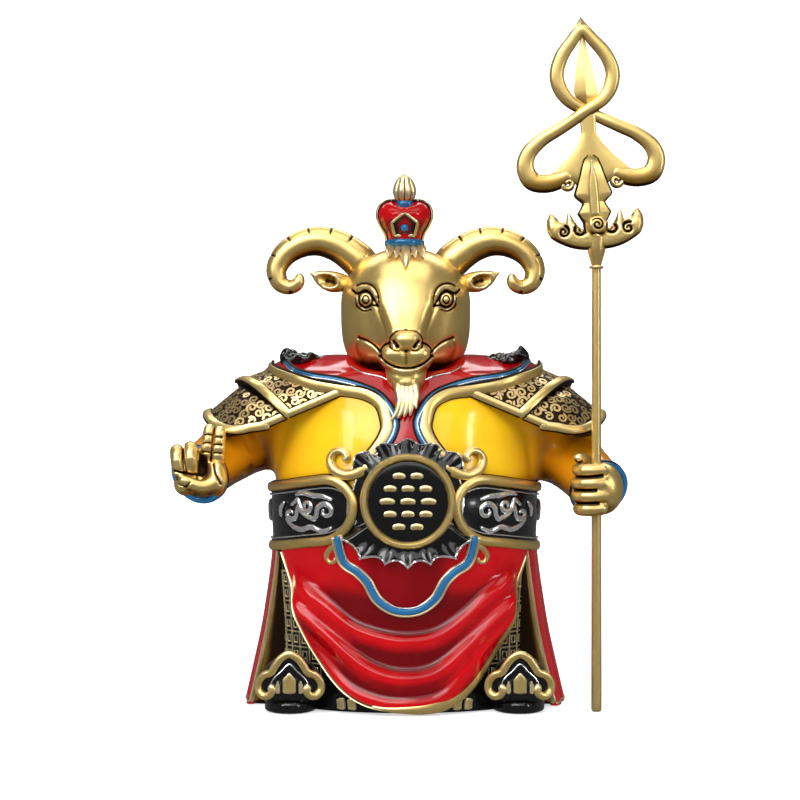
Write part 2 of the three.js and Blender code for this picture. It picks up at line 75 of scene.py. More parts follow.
# Rows of a height, half the body's width there and its depths in front and behind.
GIRTHS = np.array([
    [-4, 32, 25, 25], [20, 32.5, 26, 26], [41, 34, 29.5, 27], [50, 35, 31.5, 28], [60, 34.2, 31, 27.5],
    [70, 33.6, 29, 26], [79, 34, 25.5, 24.5], [85, 34, 21.5, 22.5], [88.6, 30, 18, 20], [93, 14, 9, 10],
])


def mix(a, b, t):
    return a + (b - a) * t


def smoothstep(t, low, high):
    share = np.clip((t - low) / (high - low), 0, 1)
    return share * share * (3 - 2 * share)


def bell(t):
    return np.exp(-t * t)


def spots(x, y, z):
    return np.stack(np.broadcast_arrays(x, y, z), axis=-1).astype(float)


# Forms: points and faces before they become a mesh

class Form:
    """A closed form: its points in units, and one array of faces for each number of corners.

    ink is how much patina lies in engraved lines at each point, from 0 to 1; on the drape, the jowls and the
    robe's facings it is painted shade.
    """

    def __init__(self, points, *faces, ink_and_shade=0.0):
        self.points = np.asarray(points, dtype=float)
        self.ink_and_shade = np.broadcast_to(ink_and_shade, len(self.points))
        self.faces = [np.asarray(group, dtype=int) for group in faces if len(group)]
        if self.volume() < 0:
            self.faces = [group[:, ::-1] for group in self.faces]

    def volume(self):
        total = 0.0
        middle = self.points - self.points.mean(axis=0)
        for group in self.faces:
            for k in range(1, group.shape[1] - 1):
                a, b, c = (middle[group[:, i]] for i in (0, k, k + 1))
                total += np.einsum("ij,ij->i", a, np.cross(b, c)).sum()
        return total

    def moved(self, change):
        return Form(change(self.points), *self.faces, ink_and_shade=self.ink_and_shade)

    def stained(self, share):
        """This form with the same ink all over."""
        self.ink_and_shade = np.full(len(self.points), share)
        return self


def joined(*forms):
    """One form out of several, however deep they are nested in lists."""
    flat = []
    waiting = list(forms)
    while waiting:
        form = waiting.pop(0)
        if isinstance(form, Form):
            flat.append(form)
        else:
            waiting = list(form) + waiting
    whole = Form.__new__(Form)
    starts = np.cumsum([0] + [len(form.points) for form in flat])
    whole.points = np.vstack([form.points for form in flat])
    whole.ink_and_shade = np.concatenate([form.ink_and_shade for form in flat])
    whole.faces = []
    for corners in (3, 4):
        groups = [g + start for form, start in zip(flat, starts) for g in form.faces if g.shape[1] == corners]
        if groups:
            whole.faces.append(np.vstack(groups))
    return whole


def quads(rows, columns, wrap_rows=False, wrap_columns=False):
    """Faces of a grid of points stored row by row."""
    i = np.arange(rows if wrap_rows else rows - 1)[:, None]
    j = np.arange(columns if wrap_columns else columns - 1)[None, :]
    far_i, far_j = (i + 1) % rows, (j + 1) % columns
    corners = (i * columns + j, far_i * columns + j, far_i * columns + far_j, i * columns + far_j)
    return np.stack(np.broadcast_arrays(*corners), axis=-1).reshape(-1, 4)


def full_turn(count):
    """Evenly spaced angles all the way round."""
    return np.linspace(0, 2 * np.pi, count, endpoint=False)


def smooth_line(points, count, closed=False):
    """Evenly spaced points on a smooth line through a few given ones."""
    knots = np.asarray(points, dtype=float)
    if closed:
        knots = np.vstack([knots, knots[:1]])
    gaps = np.maximum(np.linalg.norm(np.diff(knots, axis=0), axis=1), 1e-9) ** 0.5
    times = np.concatenate([[0], np.cumsum(gaps)])
    slopes = np.diff(knots, axis=0) / gaps[:, None]
    first, last = (-1, 0) if closed else (0, -1)
    before = np.vstack([slopes[first], slopes])
    after = np.vstack([slopes, slopes[last]])
    gap_before = np.append(gaps[first], gaps)[:, None]
    gap_after = np.append(gaps, gaps[last])[:, None]
    tangents = (before * gap_after + after * gap_before) / (gap_before + gap_after)
    fine = np.linspace(0, times[-1], 24 * len(knots))
    span = np.clip(np.searchsorted(times, fine, side="right") - 1, 0, len(gaps) - 1)
    gap = gaps[span][:, None]
    t = (fine - times[span])[:, None] / gap
    line = (
        (2 * t**3 - 3 * t**2 + 1) * knots[span]
        + (t**3 - 2 * t**2 + t) * gap * tangents[span]
        + (3 * t**2 - 2 * t**3) * knots[span + 1]
        + (t**3 - t**2) * gap * tangents[span + 1]
    )
    return spaced(line, np.linspace(0, 1, count + closed)[:count])


def lengths(line):
    steps = np.linalg.norm(np.diff(line, axis=0), axis=1)
    return np.concatenate([[0], np.cumsum(steps)])


def spaced(line, shares):
    """Points at given shares of a line's length."""
    run = lengths(line)
    return np.stack([np.interp(shares * run[-1], run, axis) for axis in line.T], axis=-1)


def even_ring(corners, count):
    """Evenly spaced points on straight lines round a ring of corners."""
    corners = np.asarray(corners, dtype=float)
    return spaced(np.vstack([corners, corners[:1]]), np.linspace(0, 1, count + 1))[:-1]


def unit_rows(rows):
    return rows / np.maximum(np.linalg.norm(rows, axis=-1, keepdims=True), 1e-12)


def constant(value):
    """A function of t that is the same everywhere."""
    return lambda t: np.full_like(t, value)


def sweep(line, wide, thick=None, face=FRONT, sides=10, power=2.0, closed=False, dent=None, stain_and_shade=None):
    """A bar along a line of points, oval or squarish, with round ends.

    wide and thick are half sizes, or functions of the share t of the length. dent(t, angle) is a
    factor on the section, where angle is 0 across the line and a quarter turn towards face, and
    stain(t, angle) is the ink there: patina in grooves, and painted shade on a horn's underside.
    """
    line = np.asarray(line, dtype=float)
    thick = wide if thick is None else thick
    half = [size if callable(size) else constant(size) for size in (wide, thick)]
    faces_at = np.broadcast_to(np.asarray(face, dtype=float), line.shape)
    caps = 1.0
    t = np.linspace(0, 1, len(line), endpoint=not closed)
    if not closed:
        total = lengths(line)[-1]
        turn = np.linspace(0.12, QUARTER, 5)
        ends = [min(0.45, min(size(np.array([end]))[0] for size in half) / total) for end in (0.0, 1.0)]
        middle = np.linspace(ends[0], 1 - ends[1], len(line))[1:-1]
        t = np.concatenate([ends[0] * (1 - np.cos(turn)), middle, 1 - ends[1] * (1 - np.cos(turn[::-1]))])
        caps = np.concatenate([np.sin(turn), np.ones(len(middle)), np.sin(turn[::-1])])[:, None, None]
        run = lengths(line) / total
        faces_at = np.stack([np.interp(t, run, axis) for axis in faces_at.T], axis=-1)
        line = spaced(line, t)
        along = np.gradient(line, axis=0)
    else:
        along = np.roll(line, -1, axis=0) - np.roll(line, 1, axis=0)
    along = unit_rows(along)
    deep = unit_rows(faces_at - along * np.sum(faces_at * along, axis=1, keepdims=True))
    across = np.cross(deep, along)
    angle = full_turn(sides)
    c = np.sign(np.cos(angle)) * np.abs(np.cos(angle)) ** (2 / power)
    s = np.sign(np.sin(angle)) * np.abs(np.sin(angle)) ** (2 / power)
    size = caps * (1 if dent is None else dent(t[:, None], angle[None, :])[..., None])
    points = (
        line[:, None, :]
        + size * across[:, None, :] * (half[0](t)[:, None] * c)[..., None]
        + size * deep[:, None, :] * (half[1](t)[:, None] * s)[..., None]
    ).reshape(-1, 3)
    ink_and_shade = np.zeros(len(points)) if stain_and_shade is None else stain_and_shade(t[:, None], angle[None, :]).ravel()
    if closed:
        return Form(points, quads(len(line), sides, wrap_rows=True, wrap_columns=True), ink_and_shade=ink_and_shade)
    last = len(points) - sides
    points = np.vstack([points, line[0], line[-1]])
    ring = np.arange(sides)
    far = (ring + 1) % sides
    start = np.stack([np.full(sides, last + sides), far, ring], axis=-1)
    end = np.stack([np.full(sides, last + sides + 1), last + ring, last + far], axis=-1)
    body = quads(len(line), sides, wrap_columns=True)[:, ::-1]
    return Form(points, body, np.vstack([start, end])[:, ::-1], ink_and_shade=np.append(ink_and_shade, [ink_and_shade[0], ink_and_shade[-1]]))


def nearest(place, a, b):
    """The share of the way from a to b that is nearest to places, and their distance from it."""
    d = b - a
    from_a = [p - q for p, q in zip(place, a)]
    t = np.clip(sum(p * q for p, q in zip(from_a, d)) / max(d @ d, 1e-9), 0, 1)
    return t, np.sqrt(sum((p - t * q) ** 2 for p, q in zip(from_a, d)))


def line_gap(line, *place):
    """The distance from places, given axis by axis, to a line through points of as many axes."""
    best = np.full(np.broadcast(*place).shape, FAR)
    for a, b in zip(line[:-1], line[1:]):
        best = np.minimum(best, nearest(place, a, b)[1])
    return best


def plate(us, vs, place):
    """A closed plate. place(u, v, top) gives its upper face where top is 1 and its under face at 0."""
    u, v = np.meshgrid(us, vs, indexing="ij")
    top, under = (place(u, v, side).reshape(-1, 3) for side in (1, 0))
    rows, columns = u.shape
    count = rows * columns
    index = np.arange(count).reshape(rows, columns)
    rim = np.concatenate([index[0, :-1], index[:-1, -1], index[-1, :0:-1], index[:0:-1, 0]])
    far = np.roll(rim, -1)
    walls = np.stack([rim, far, far + count, rim + count], axis=-1)
    upper = quads(rows, columns)
    return Form(np.vstack([top, under]), np.vstack([upper, upper[:, ::-1] + count, walls]))


def capped(line):
    """A profile for turned from a line of radius and height pairs, closed to the axis at both ends."""
    return np.vstack([[0, line[0][1]], line, [0, line[-1][1]]])


def turned(profile, centre, sides=64, axis="Z", swell=None):
    """A turned form from radius and height pairs that start and end on the axis."""
    radius, height = np.asarray(profile, dtype=float).T
    angle = full_turn(sides)
    r = radius[1:-1, None] * np.ones(sides)
    h = height[1:-1, None] * np.ones(sides)
    if swell is not None:
        r = r * swell(angle[None, :], h)
    local = spots(r * np.sin(angle), -r * np.cos(angle), h).reshape(-1, 3)
    local = np.vstack([local, [0, 0, height[0]], [0, 0, height[-1]]])
    if axis == "Y":
        local = np.stack([local[:, 0], -local[:, 2], -local[:, 1]], axis=-1)
    ring = np.arange(sides)
    far = (ring + 1) % sides
    last = (len(radius) - 3) * sides
    start = np.stack([np.full(sides, last + sides), ring, far], axis=-1)
    end = np.stack([np.full(sides, last + sides + 1), last + far, last + ring], axis=-1)
    body = quads(len(radius) - 2, sides, wrap_columns=True)
    return Form(np.asarray(centre) + local, body, np.vstack([start, end]))


# Clay: rounded forms that flow into each other, carved on a grid of distances

def soft_min(a, b, blend):
    overlap = np.maximum(blend - np.abs(a - b), 0) / blend
    return np.minimum(a, b) - overlap * overlap * blend / 4


def soft_max(a, b, blend):
    return -soft_min(-a, -b, blend)


class Clay:
    """A block of clay: the distance to its surface at each point of a grid, below zero inside."""

    def __init__(self, low, high, step):
        self.low = np.asarray(low, dtype=float)
        self.step = step
        self.count = np.ceil((np.asarray(high) - self.low) / step).astype(int) + 1
        self.field = np.full(self.count, FAR, dtype=np.float32)
        self.lines = []

    def near(self, low, high):
        first = np.clip(np.floor((np.asarray(low) - self.low) / self.step).astype(int), 0, self.count - 1)
        last = np.clip(np.ceil((np.asarray(high) - self.low) / self.step).astype(int) + 1, 1, self.count)
        part = tuple(slice(a, b) for a, b in zip(first, last))
        axes = [self.low[i] + self.step * np.arange(first[i], last[i]) for i in range(3)]
        return part, np.meshgrid(*axes, indexing="ij", sparse=True)

    def all(self):
        return self.near(self.low, self.low + self.step * self.count)

    def ball(self, centre, radii, blend=1.0, cut=False):
        reach = np.asarray(radii) + blend + 2 * self.step
        part, (x, y, z) = self.near(np.asarray(centre) - reach, np.asarray(centre) + reach)
        scaled = [(p - c) / r for p, c, r in zip((x, y, z), centre, radii)]
        steep = [(p - c) / r**2 for p, c, r in zip((x, y, z), centre, radii)]
        out = np.sqrt(sum(p * p for p in scaled))
        slope = np.sqrt(sum(p * p for p in steep)) + 1e-6
        self.merge(part, out * (out - 1) / slope, blend, cut)

    def merge(self, part, distance, blend, cut=False):
        if cut:
            self.field[part] = soft_max(self.field[part], -distance, blend)
        else:
            self.field[part] = soft_min(self.field[part], distance, blend)

    def limb(self, points, radii, blend=1.0, cut=False):
        """A round limb along a chain of points, with a radius at each."""
        points = np.asarray(points, dtype=float)
        radii = np.broadcast_to(np.asarray(radii, dtype=float), len(points))
        grow = radii.max() + blend + 2 * self.step
        part, place = self.near(points.min(axis=0) - grow, points.max(axis=0) + grow)
        best = np.full(np.broadcast(*place).shape, FAR, dtype=np.float32)
        for a, b, ra, rb in zip(points[:-1], points[1:], radii[:-1], radii[1:]):
            t, gap = nearest(place, a, b)
            best = np.minimum(best, gap - (ra + (rb - ra) * t))
        self.merge(part, best, blend, cut)

    def groove(self, points, wide, deep):
        """A line engraved along points in space, or raised where deep is negative."""
        points = np.asarray(points, dtype=float)
        part, place = self.near(points.min(axis=0) - 3 * wide, points.max(axis=0) + 3 * wide)
        self.field[part] += (deep * bell(line_gap(points, *place) / wide)).astype(np.float32)

    def engrave(self, seen, wide, deep, behind=0.0, ink_and_shade=1.0):
        """A line engraved in the front, through points given by x and z as seen from there."""
        seen = np.asarray(seen, dtype=float)
        low, high = seen.min(axis=0) - 3 * wide, seen.max(axis=0) + 3 * wide
        part, (x, _, z) = self.near((low[0], self.low[1], low[1]), (high[0], behind, high[1]))
        self.field[part] += (deep * bell(line_gap(seen, x, z) / wide)).astype(np.float32)
        if deep > 0:
            self.lines.append((seen, wide, behind, ink_and_shade))

    def inked(self, points):
        """How much ink each point has from the engraved lines, from 0 to 1."""
        share = np.zeros(len(points))
        x, y, z = points.T
        for seen, wide, behind, ink_and_shade in self.lines:
            low, high = seen.min(axis=0) - 3 * wide, seen.max(axis=0) + 3 * wide
            near = (x > low[0]) & (x < high[0]) & (z > low[1]) & (z < high[1]) & (y < behind)
            gap = line_gap(seen, x[near], z[near]) / max(0.6 * wide, 0.2)
            share[near] = np.maximum(share[near], ink_and_shade * bell(gap))
        return share

    def sample(self, points):
        """The distance at any points, from the eight grid points round each."""
        place = np.clip((points - self.low) / self.step, 0, self.count - 1.001)
        base = place.astype(int)
        share = place - base
        value = np.zeros(len(points))
        for corner in np.ndindex(2, 2, 2):
            weight = np.prod(np.where(corner, share, 1 - share), axis=1)
            value += weight * self.field[tuple((base + corner).T)]
        return value

    def settle(self, points):
        """Moves points onto the surface."""
        e = self.step * 0.75
        rises = [self.sample(points + e * way) - self.sample(points - e * way) for way in np.eye(3)]
        slope = np.stack(rises, axis=-1) / (2 * e)
        move = self.sample(points)[:, None] * slope / np.maximum(np.sum(slope**2, axis=1, keepdims=True), 0.2)
        return points - np.clip(move, -e, e)

    def skin(self, rounds=2):
        """The surface as a form: one point in each grid cell that it crosses."""
        inside = self.field < 0
        cells = self.count - 1
        corners = [np.array(c) for c in np.ndindex(2, 2, 2)]
        view = [inside[tuple(slice(c[i], c[i] + cells[i]) for i in range(3))] for c in corners]
        filled = sum(v.astype(np.uint8) for v in view)
        where = np.argwhere((filled > 0) & (filled < 8))
        index = np.full(cells, -1)
        index[tuple(where.T)] = np.arange(len(where))
        place = np.zeros((len(where), 3))
        hits = np.zeros((len(where), 1))
        values = {tuple(c): self.field[tuple((where + c).T)] for c in corners}
        for c in corners:
            for axis in range(3):
                if c[axis]:
                    continue
                far = c.copy()
                far[axis] = 1
                a, b = values[tuple(c)], values[tuple(far)]
                crosses = ((a < 0) != (b < 0))[:, None]
                t = (a / np.where(a == b, 1, a - b))[:, None]
                place += crosses * (c + t * (far - c))
                hits += crosses
        points = self.low + self.step * (where + place / hits)
        faces = []
        for ahead, one, two in (np.roll(np.eye(3, dtype=int), -axis, axis=0) for axis in range(3)):
            near = inside[tuple(slice(0, n - s) for n, s in zip(self.count, ahead))]
            far = inside[tuple(slice(s, None) for s in ahead)]
            edge = np.argwhere(near != far)
            edge = edge[np.all((edge - one - two >= 0) & (edge < cells), axis=1)]
            ring = [index[tuple((edge - shift).T)] for shift in (one + two, two, 0 * one, one)]
            quad = np.stack(ring, axis=-1)
            leaving = near[tuple(edge.T)]
            faces.append(np.where(leaving[:, None], quad, quad[:, ::-1]))
        faces = np.vstack(faces)
        for _ in range(rounds):
            points = self.settle(relaxed(points, faces, 0.5))
        return Form(points, faces, ink_and_shade=self.inked(points))


def neighbours(a, b, values):
    """The sum of the values at each point's neighbours, for edges between points a and points b."""
    count = len(values)
    return np.bincount(a, values[b], count) + np.bincount(b, values[a], count)


def relaxed(points, faces, share):
    """Points moved some of the way to the middle of their neighbours."""
    a = faces.ravel()
    b = np.roll(faces, -1, axis=1).ravel()
    degree = np.maximum(neighbours(a, b, np.ones(len(points))), 1)
    total = np.stack([neighbours(a, b, axis) for axis in points.T], axis=-1)
    return mix(points, total / degree[:, None], share)


# Meshes, and how they join the frame


def to_mesh(name, form, crease):
    mesh = bpy.data.meshes.new(name)
    mesh.vertices.add(len(form.points))
    mesh.vertices.foreach_set("co", (form.points * UNIT).ravel())
    corners = np.concatenate([group.ravel() for group in form.faces])
    sizes = np.concatenate([np.full(len(group), group.shape[1]) for group in form.faces])
    mesh.loops.add(len(corners))
    mesh.loops.foreach_set("vertex_index", corners)
    mesh.polygons.add(len(sizes))
    mesh.polygons.foreach_set("loop_start", np.cumsum(sizes) - sizes)
    mesh.update(calc_edges=True)
    mesh.shade_smooth()
    if crease:
        mesh.set_sharp_from_angle(angle=math.radians(crease))
    return mesh


def numbers(items, name, width=1, kind=float):
    values = np.zeros(len(items) * width, dtype=kind)
    items.foreach_get(name, values)
    return values.reshape(-1, width) if width > 1 else values


def store(mesh, name, values):
    layer = mesh.attributes.new(name, "FLOAT", "POINT")
    layer.data.foreach_set("value", np.asarray(values, dtype=np.float32))


def mark_hollows_and_shade(mesh, rounds=2, ink_and_shade=0.0, under=0.7):
    """Stores how hollow each point is, above 0, or how proud, below 0, in parts per unit.

    Inked lines count as hollow, because patina and deep enamel stay there. Undersides count as hollow too, by
    the share under: that part is painted shade on faces that look down.
    """
    points = numbers(mesh.vertices, "co", 3) / UNIT
    normals = numbers(mesh.vertices, "normal", 3)
    a, b = numbers(mesh.edges, "vertices", 2, int).T
    step = points[b] - points[a]
    square = np.maximum(np.sum(step * step, axis=1), 1e-4)
    count = len(points)
    degree = np.maximum(neighbours(a, b, np.ones(count)), 1)
    rise_a = np.sum(normals[a] * step, axis=1) / square
    rise_b = -np.sum(normals[b] * step, axis=1) / square
    bend = np.clip((np.bincount(a, rise_a, count) + np.bincount(b, rise_b, count)) / degree, -3, 3)
    for _ in range(rounds):
        bend = mix(bend, neighbours(a, b, bend) / degree, 0.6)
    # Painted shade: the under term darkens faces that look down. The ink term adds patina in engraved lines,
    # and painted shade on some pieces.
    store(mesh, "bend", bend + under * smoothstep(-normals[:, 2], 0.1, 0.95) + 1.6 * ink_and_shade)


def piece(name, finish, *forms, crease=42, under=0.7):
    """A piece of the figure from forms in units, in one finish."""
    form = joined(*forms)
    mesh = to_mesh(name, form, crease)
    # under sets how strongly shade is painted on the faces that look down.
    mark_hollows_and_shade(mesh, ink_and_shade=form.ink_and_shade, under=under)
    obj = bpy.data.objects.new(name, mesh)
    bpy.context.scene.collection.objects.link(obj)
    return mounted(obj, finish)


def mounted(obj, finish):
    obj.data.materials.clear()
    obj.data.materials.append(bpy.data.materials[finish])
    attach(obj, "root")
    return obj


# Finishes

class Finish:
    """A material's nodes while they are being put together. Sizes are in units."""

    def __init__(self, name):
        self.material = bpy.data.materials.new(name)
        self.material.use_nodes = True
        self.tree = self.material.node_tree
        self.shader = self.tree.nodes["Principled BSDF"]
        where = self.node("ShaderNodeTexCoord")
        scale = self.node("ShaderNodeVectorMath", operation="SCALE")
        self.feed(scale.inputs[0], where.outputs["Object"])
        scale.inputs["Scale"].default_value = 1 / UNIT
        self.place = scale.outputs[0]

    def node(self, kind, **settings):
        made = self.tree.nodes.new(kind)
        for key, value in settings.items():
            setattr(made, key, value)
        return made

    def feed(self, socket, value):
        if isinstance(value, bpy.types.NodeSocket):
            self.tree.links.new(value, socket)
        else:
            socket.default_value = value

    def noise(self, size, detail=2.0, stretch=(1, 1, 1)):
        place = self.place
        if stretch != (1, 1, 1):
            turned_to = self.node("ShaderNodeMapping")
            self.feed(turned_to.inputs["Vector"], place)
            turned_to.inputs["Scale"].default_value = stretch
            place = turned_to.outputs[0]
        made = self.node("ShaderNodeTexNoise")
        self.feed(made.inputs["Vector"], place)
        made.inputs["Scale"].default_value = 1 / size
        made.inputs["Detail"].default_value = detail
        return made.outputs["Fac"]

    def attribute(self, name):
        return self.node("ShaderNodeAttribute", attribute_name=name).outputs["Fac"]

    def sum(self, a, b, factor=1.0):
        """a plus factor times b."""
        made = self.node("ShaderNodeMath", operation="MULTIPLY_ADD")
        self.feed(made.inputs[0], b)
        self.feed(made.inputs[1], factor)
        self.feed(made.inputs[2], a)
        return made.outputs[0]

    def step(self, value, low, high, start=0.0, end=1.0):
        made = self.node("ShaderNodeMapRange", interpolation_type="SMOOTHSTEP")
        names = ("Value", "From Min", "From Max", "To Min", "To Max")
        for name, given in zip(names, (value, low, high, start, end)):
            self.feed(made.inputs[name], given)
        return made.outputs[0]

    def blend(self, share, a, b):
        made = self.node("ShaderNodeMix", data_type="RGBA")
        self.feed(made.inputs[0], share)
        for socket, colour in ((made.inputs[6], a), (made.inputs[7], b)):
            self.feed(socket, colour if isinstance(colour, bpy.types.NodeSocket) else (*colour, 1))
        return made.outputs[2]

    def bump(self, height, distance, strength=1.0):
        made = self.node("ShaderNodeBump")
        made.inputs["Strength"].default_value = strength
        made.inputs["Distance"].default_value = distance * UNIT
        self.feed(made.inputs["Height"], height)
        self.feed(self.shader.inputs["Normal"], made.outputs[0])

    def set(self, **values):
        for name, value in values.items():
            self.feed(self.shader.inputs[name.replace("_", " ")], value)


def gilding(name, colours, worn, dull=0.0):
    """Antique gilt brass: pale on proud places, dark brown in the hollows, and brown as painted shade on
    faces that look down, with brushed grain.

    worn is how readily the brown shows and dull how much the pale places are shaded, from 0 to 1.
    """
    gilt = Finish(name)
    cloud = gilt.noise(9.0, 3)
    speck = gilt.noise(0.9, 3)
    brush = gilt.noise(0.5, 3, stretch=(1.0, 1.0, 0.25))
    bend = gilt.attribute("bend")
    # bend holds painted shade on faces that look down, so warm and brown paint shade there as well as patina
    # in the hollows.
    hollow = gilt.sum(gilt.sum(bend, cloud, 0.3), speck, 0.03)
    warm = gilt.step(hollow, 0.3 - 0.5 * worn, 0.65 - 0.5 * worn)
    brown = gilt.step(hollow, 0.6 - 0.6 * worn, 1.1 - 0.5 * worn)
    tone = gilt.blend(gilt.step(bend, -0.08, -0.7), colours.gold, colours.gold_edge)
    tone = gilt.blend(warm, gilt.blend(dull, tone, colours.gold_shade), colours.gold_shade)
    gilt.set(
        Base_Color=gilt.blend(brown, tone, colours.patina),
        Metallic=0.88,
        Roughness=gilt.sum(gilt.step(speck, 0.3, 0.75, 0.29, 0.37), brown, 0.2),
    )
    gilt.bump(gilt.sum(brush, speck, 0.4), 0.02, 0.3)


def enamelling(name, colour, deep, amber=None, metal=0.0, coat=0.3):
    """Glossy fired enamel: deeper in the hollows, where more of it lies, and deeper as painted shade on faces
    that look down and between the drape's folds, over faint orange peel.
    """
    enamel = Finish(name)
    bend = enamel.attribute("bend")
    drift = enamel.noise(11.0, 2)
    flow = enamel.noise(2.4, 2)
    # The deep colour shows where enamel pools and where shade is painted through bend.
    lying_and_shade = enamel.step(enamel.sum(bend, drift, 0.12), 0.02, 0.42)
    base = enamel.blend(enamel.step(drift, 0.3, 0.75, 0.0, 0.3), colour, deep)
    if amber is not None:
        base = enamel.blend(enamel.step(drift, 0.3, 0.75, 0.0, 0.2), colour, amber)
        # Amber is the sleeves' own colour and painted shade at the chest's sides and upper chest; the deep
        # brown is only painted shade, under the sleeves and below the armour.
        base = enamel.blend(enamel.attribute("amber"), base, amber)
        lying_and_shade = enamel.attribute("painted_shade")
    enamel.set(
        Base_Color=enamel.blend(lying_and_shade, base, deep),
        Metallic=metal,
        Roughness=enamel.step(flow, 0.3, 0.7, 0.12, 0.2),
        Specular_IOR_Level=0.15 + 0.5 * coat,
        Coat_Weight=coat,
        Coat_Roughness=0.04,
    )
    enamel.bump(enamel.sum(flow, enamel.noise(0.7, 2), 0.25), 0.05, 0.3)


def silvering(colours):
    silver = Finish("silver")
    speck = silver.noise(0.8, 3)
    silver.set(
        Base_Color=silver.blend(silver.step(speck, 0.3, 0.8), colours.silver, (0.72, 0.74, 0.77)),
        Metallic=0.85,
        Roughness=silver.step(speck, 0.3, 0.7, 0.14, 0.22),
    )
    silver.bump(speck, 0.01, 0.3)


# The figure's main surfaces

def girth(z):
    """Half the body's width and its depths in front and behind, smooth from height to height."""
    heights, *rows = GIRTHS.T
    near = [np.stack([np.interp(z + rise, heights, row) for row in rows]) for rise in (-3, -1.5, 0, 1.5, 3)]
    return sum(near) / len(near)


def on_body(angle, z, proud=0.0):
    """A point on the body or proud of it. Angle 0 is the front, and +X is at a quarter turn."""
    wide, front, back = girth(z)
    deep = np.where(np.cos(angle) > 0, front, back)
    return spots((wide + proud) * np.sin(angle), -(deep + proud) * np.cos(angle), z)


def on_front(seen, proud=0.0):
    """The points on the front of the body that are seen at each x, z."""
    x, z = np.asarray(seen, dtype=float).T
    wide = girth(z)[0] + proud
    return on_body(np.arcsin(np.clip(x / wide, -0.999, 0.999)), z, proud)


def outward(points):
    """Directions away from the body's middle, level with the ground."""
    return unit_rows(points * np.array([1, 1, 0]))


def front_line(seen, count, proud=0.0):
    return on_front(smooth_line(seen, count), proud)


def both_sides(half):
    """A line by x and z and its mirror image, from the half that ends in the middle."""
    return [(-x, z) for x, z in half] + half[-2::-1]


def mirrored(seen, side, middle=MIDDLE):
    return [(middle + side * (x - middle), *rest) for x, *rest in seen]


def level_ring(centre, radius, count):
    turn = full_turn(count)
    return np.asarray(centre) + spots(radius * np.cos(turn), radius * np.sin(turn), 0)


def spiral(centre, radius, turns, start=0.0, hand=1, end=0.22, count=26):
    """A scroll's line from its outside in, by x and z."""
    t = np.linspace(0, 1, count)
    angle = start + hand * turns * 2 * np.pi * t
    reach = radius * mix(1.0, end, t ** 0.9)
    return np.stack([centre[0] + reach * np.cos(angle), centre[1] + reach * np.sin(angle)], axis=-1)


# Torso, mantle and sleeves

EDGE_Z = (58, 66.5, 69.5, 72.8, 75.5, 79, 81.3, 82.6, 83.6, 85.5, 87.4, 95)
EDGE_X = (12, 9.4, 6.6, 5.3, 5.6, 7, 10.6, 17.4, 23.2, 29.3, 34.5, 42)
BACK_EDGE = ((50, 70, 77, 81, 84, 92), (22, 22.5, 21, 18.5, 30, 40))
BAND = [(9.8, 65.2), (6.6, 69.5), (5.3, 72.8), (5.6, 75.5), (7, 79), (10.6, 81.3)]
RIBBON = [(8.2, 65.8), (4.5, 69.9), (3.2, 74), (4.5, 77.7), (7.5, 81.2), (12, 83.3)]
BAND_OVER = ((0, 0.33, 0.58, 0.78, 0.92), (15.6, 15.0, 11.0, 6.1, 1.2))
RIBBON_OVER = ((0, 0.10, 0.46, 0.57, 0.68, 0.82), (12.2, 11.9, 10.2, 8.3, 5.4, 0.44))
ARMS = {
    1: [(24, 1, 79), (35, 3, 72.5), (42, 1.5, 66.5), (47, -6, 61.5)],
    -1: [(24, 1, 79), (35.5, 3, 73.5), (43, 2, 69), (48, -7.5, 65)],
}
WRISTS = {1: (50.7, -14.5, 56.8), -1: (-53.1, -18.5, 60.7)}
SLEEVE_FOLDS = (((38, 66), (44, 71), 0.7), ((42, 62), (48, 68), 0.9), ((46, 60), (51, 66), 0.6))
COLLAR = [(14.6, 88.6), (12.4, 87.3), (9.8, 86.6), (7.1, 86.0), (5.5, 85.3), (3.9, 83.9), (2.6, 82.2)]


def sleeve_line(side):
    return smooth_line(mirrored(ARMS[side], side, 0) + [WRISTS[side]], 14)


def over_shoulder(side, route, proud, front=1):
    """A line over the shoulder, from its front or back edge up to its top."""
    shares, along = np.array(route, dtype=float)[:, ::-1]
    return on_shoulder(side, along, front * shares * QUARTER, proud)


def body_clay():
    """The torso and both sleeves, flowing into each other at the armpits, with a seat for the jaw."""
    clay = Clay((-62, -34, 43), (62, 30, 94), 0.7)
    part, (x, y, z) = clay.all()
    wide, front, back = girth(z)
    deep = np.where(y < 0, front, back)
    out = np.sqrt((x / wide) ** 2 + (y / deep) ** 2)
    field = (out - 1) * np.minimum(wide, deep) * 0.92
    clay.field[part] = soft_max(soft_max(field, z - 91.4, 3), 45 - z, 1)
    for side in SIDES:
        line = sleeve_line(side)
        radii = np.interp(np.linspace(0, 1, len(line)), (0, 0.4, 0.75, 1), (11, 9.4, 7.7, 7.0))
        clay.limb(line, radii, blend=5)
        for (x0, z0), (x1, z1), creased in SLEEVE_FOLDS:
            fold = [(x0, -8, z0), (mix(x0, x1, 0.5), -9.5, mix(z0, z1, 0.4)), (x1, -6, z1)]
            clay.groove(smooth_line(mirrored(fold, side, 0), 8), 1.5, creased)
        end, way = sleeve_end(side)
        beyond = (x - end[0]) * way[0] + (y - end[1]) * way[1] + (z - end[2]) * way[2]
        ended = np.maximum(clay.field[part], beyond + 0.5)
        clay.field[part] = np.where(side * x > 38, ended, clay.field[part])
    clay.ball((HEAD[0], -15, 94), (18.0, 13.5, 8.0), 1.0, cut=True)
    return clay


def sleeve_end(side):
    """The middle of a sleeve's mouth and the way it faces."""
    line = sleeve_line(side)
    way = unit_rows(line[-1] - line[-3])
    return line[-1] - 0.5 * way, way


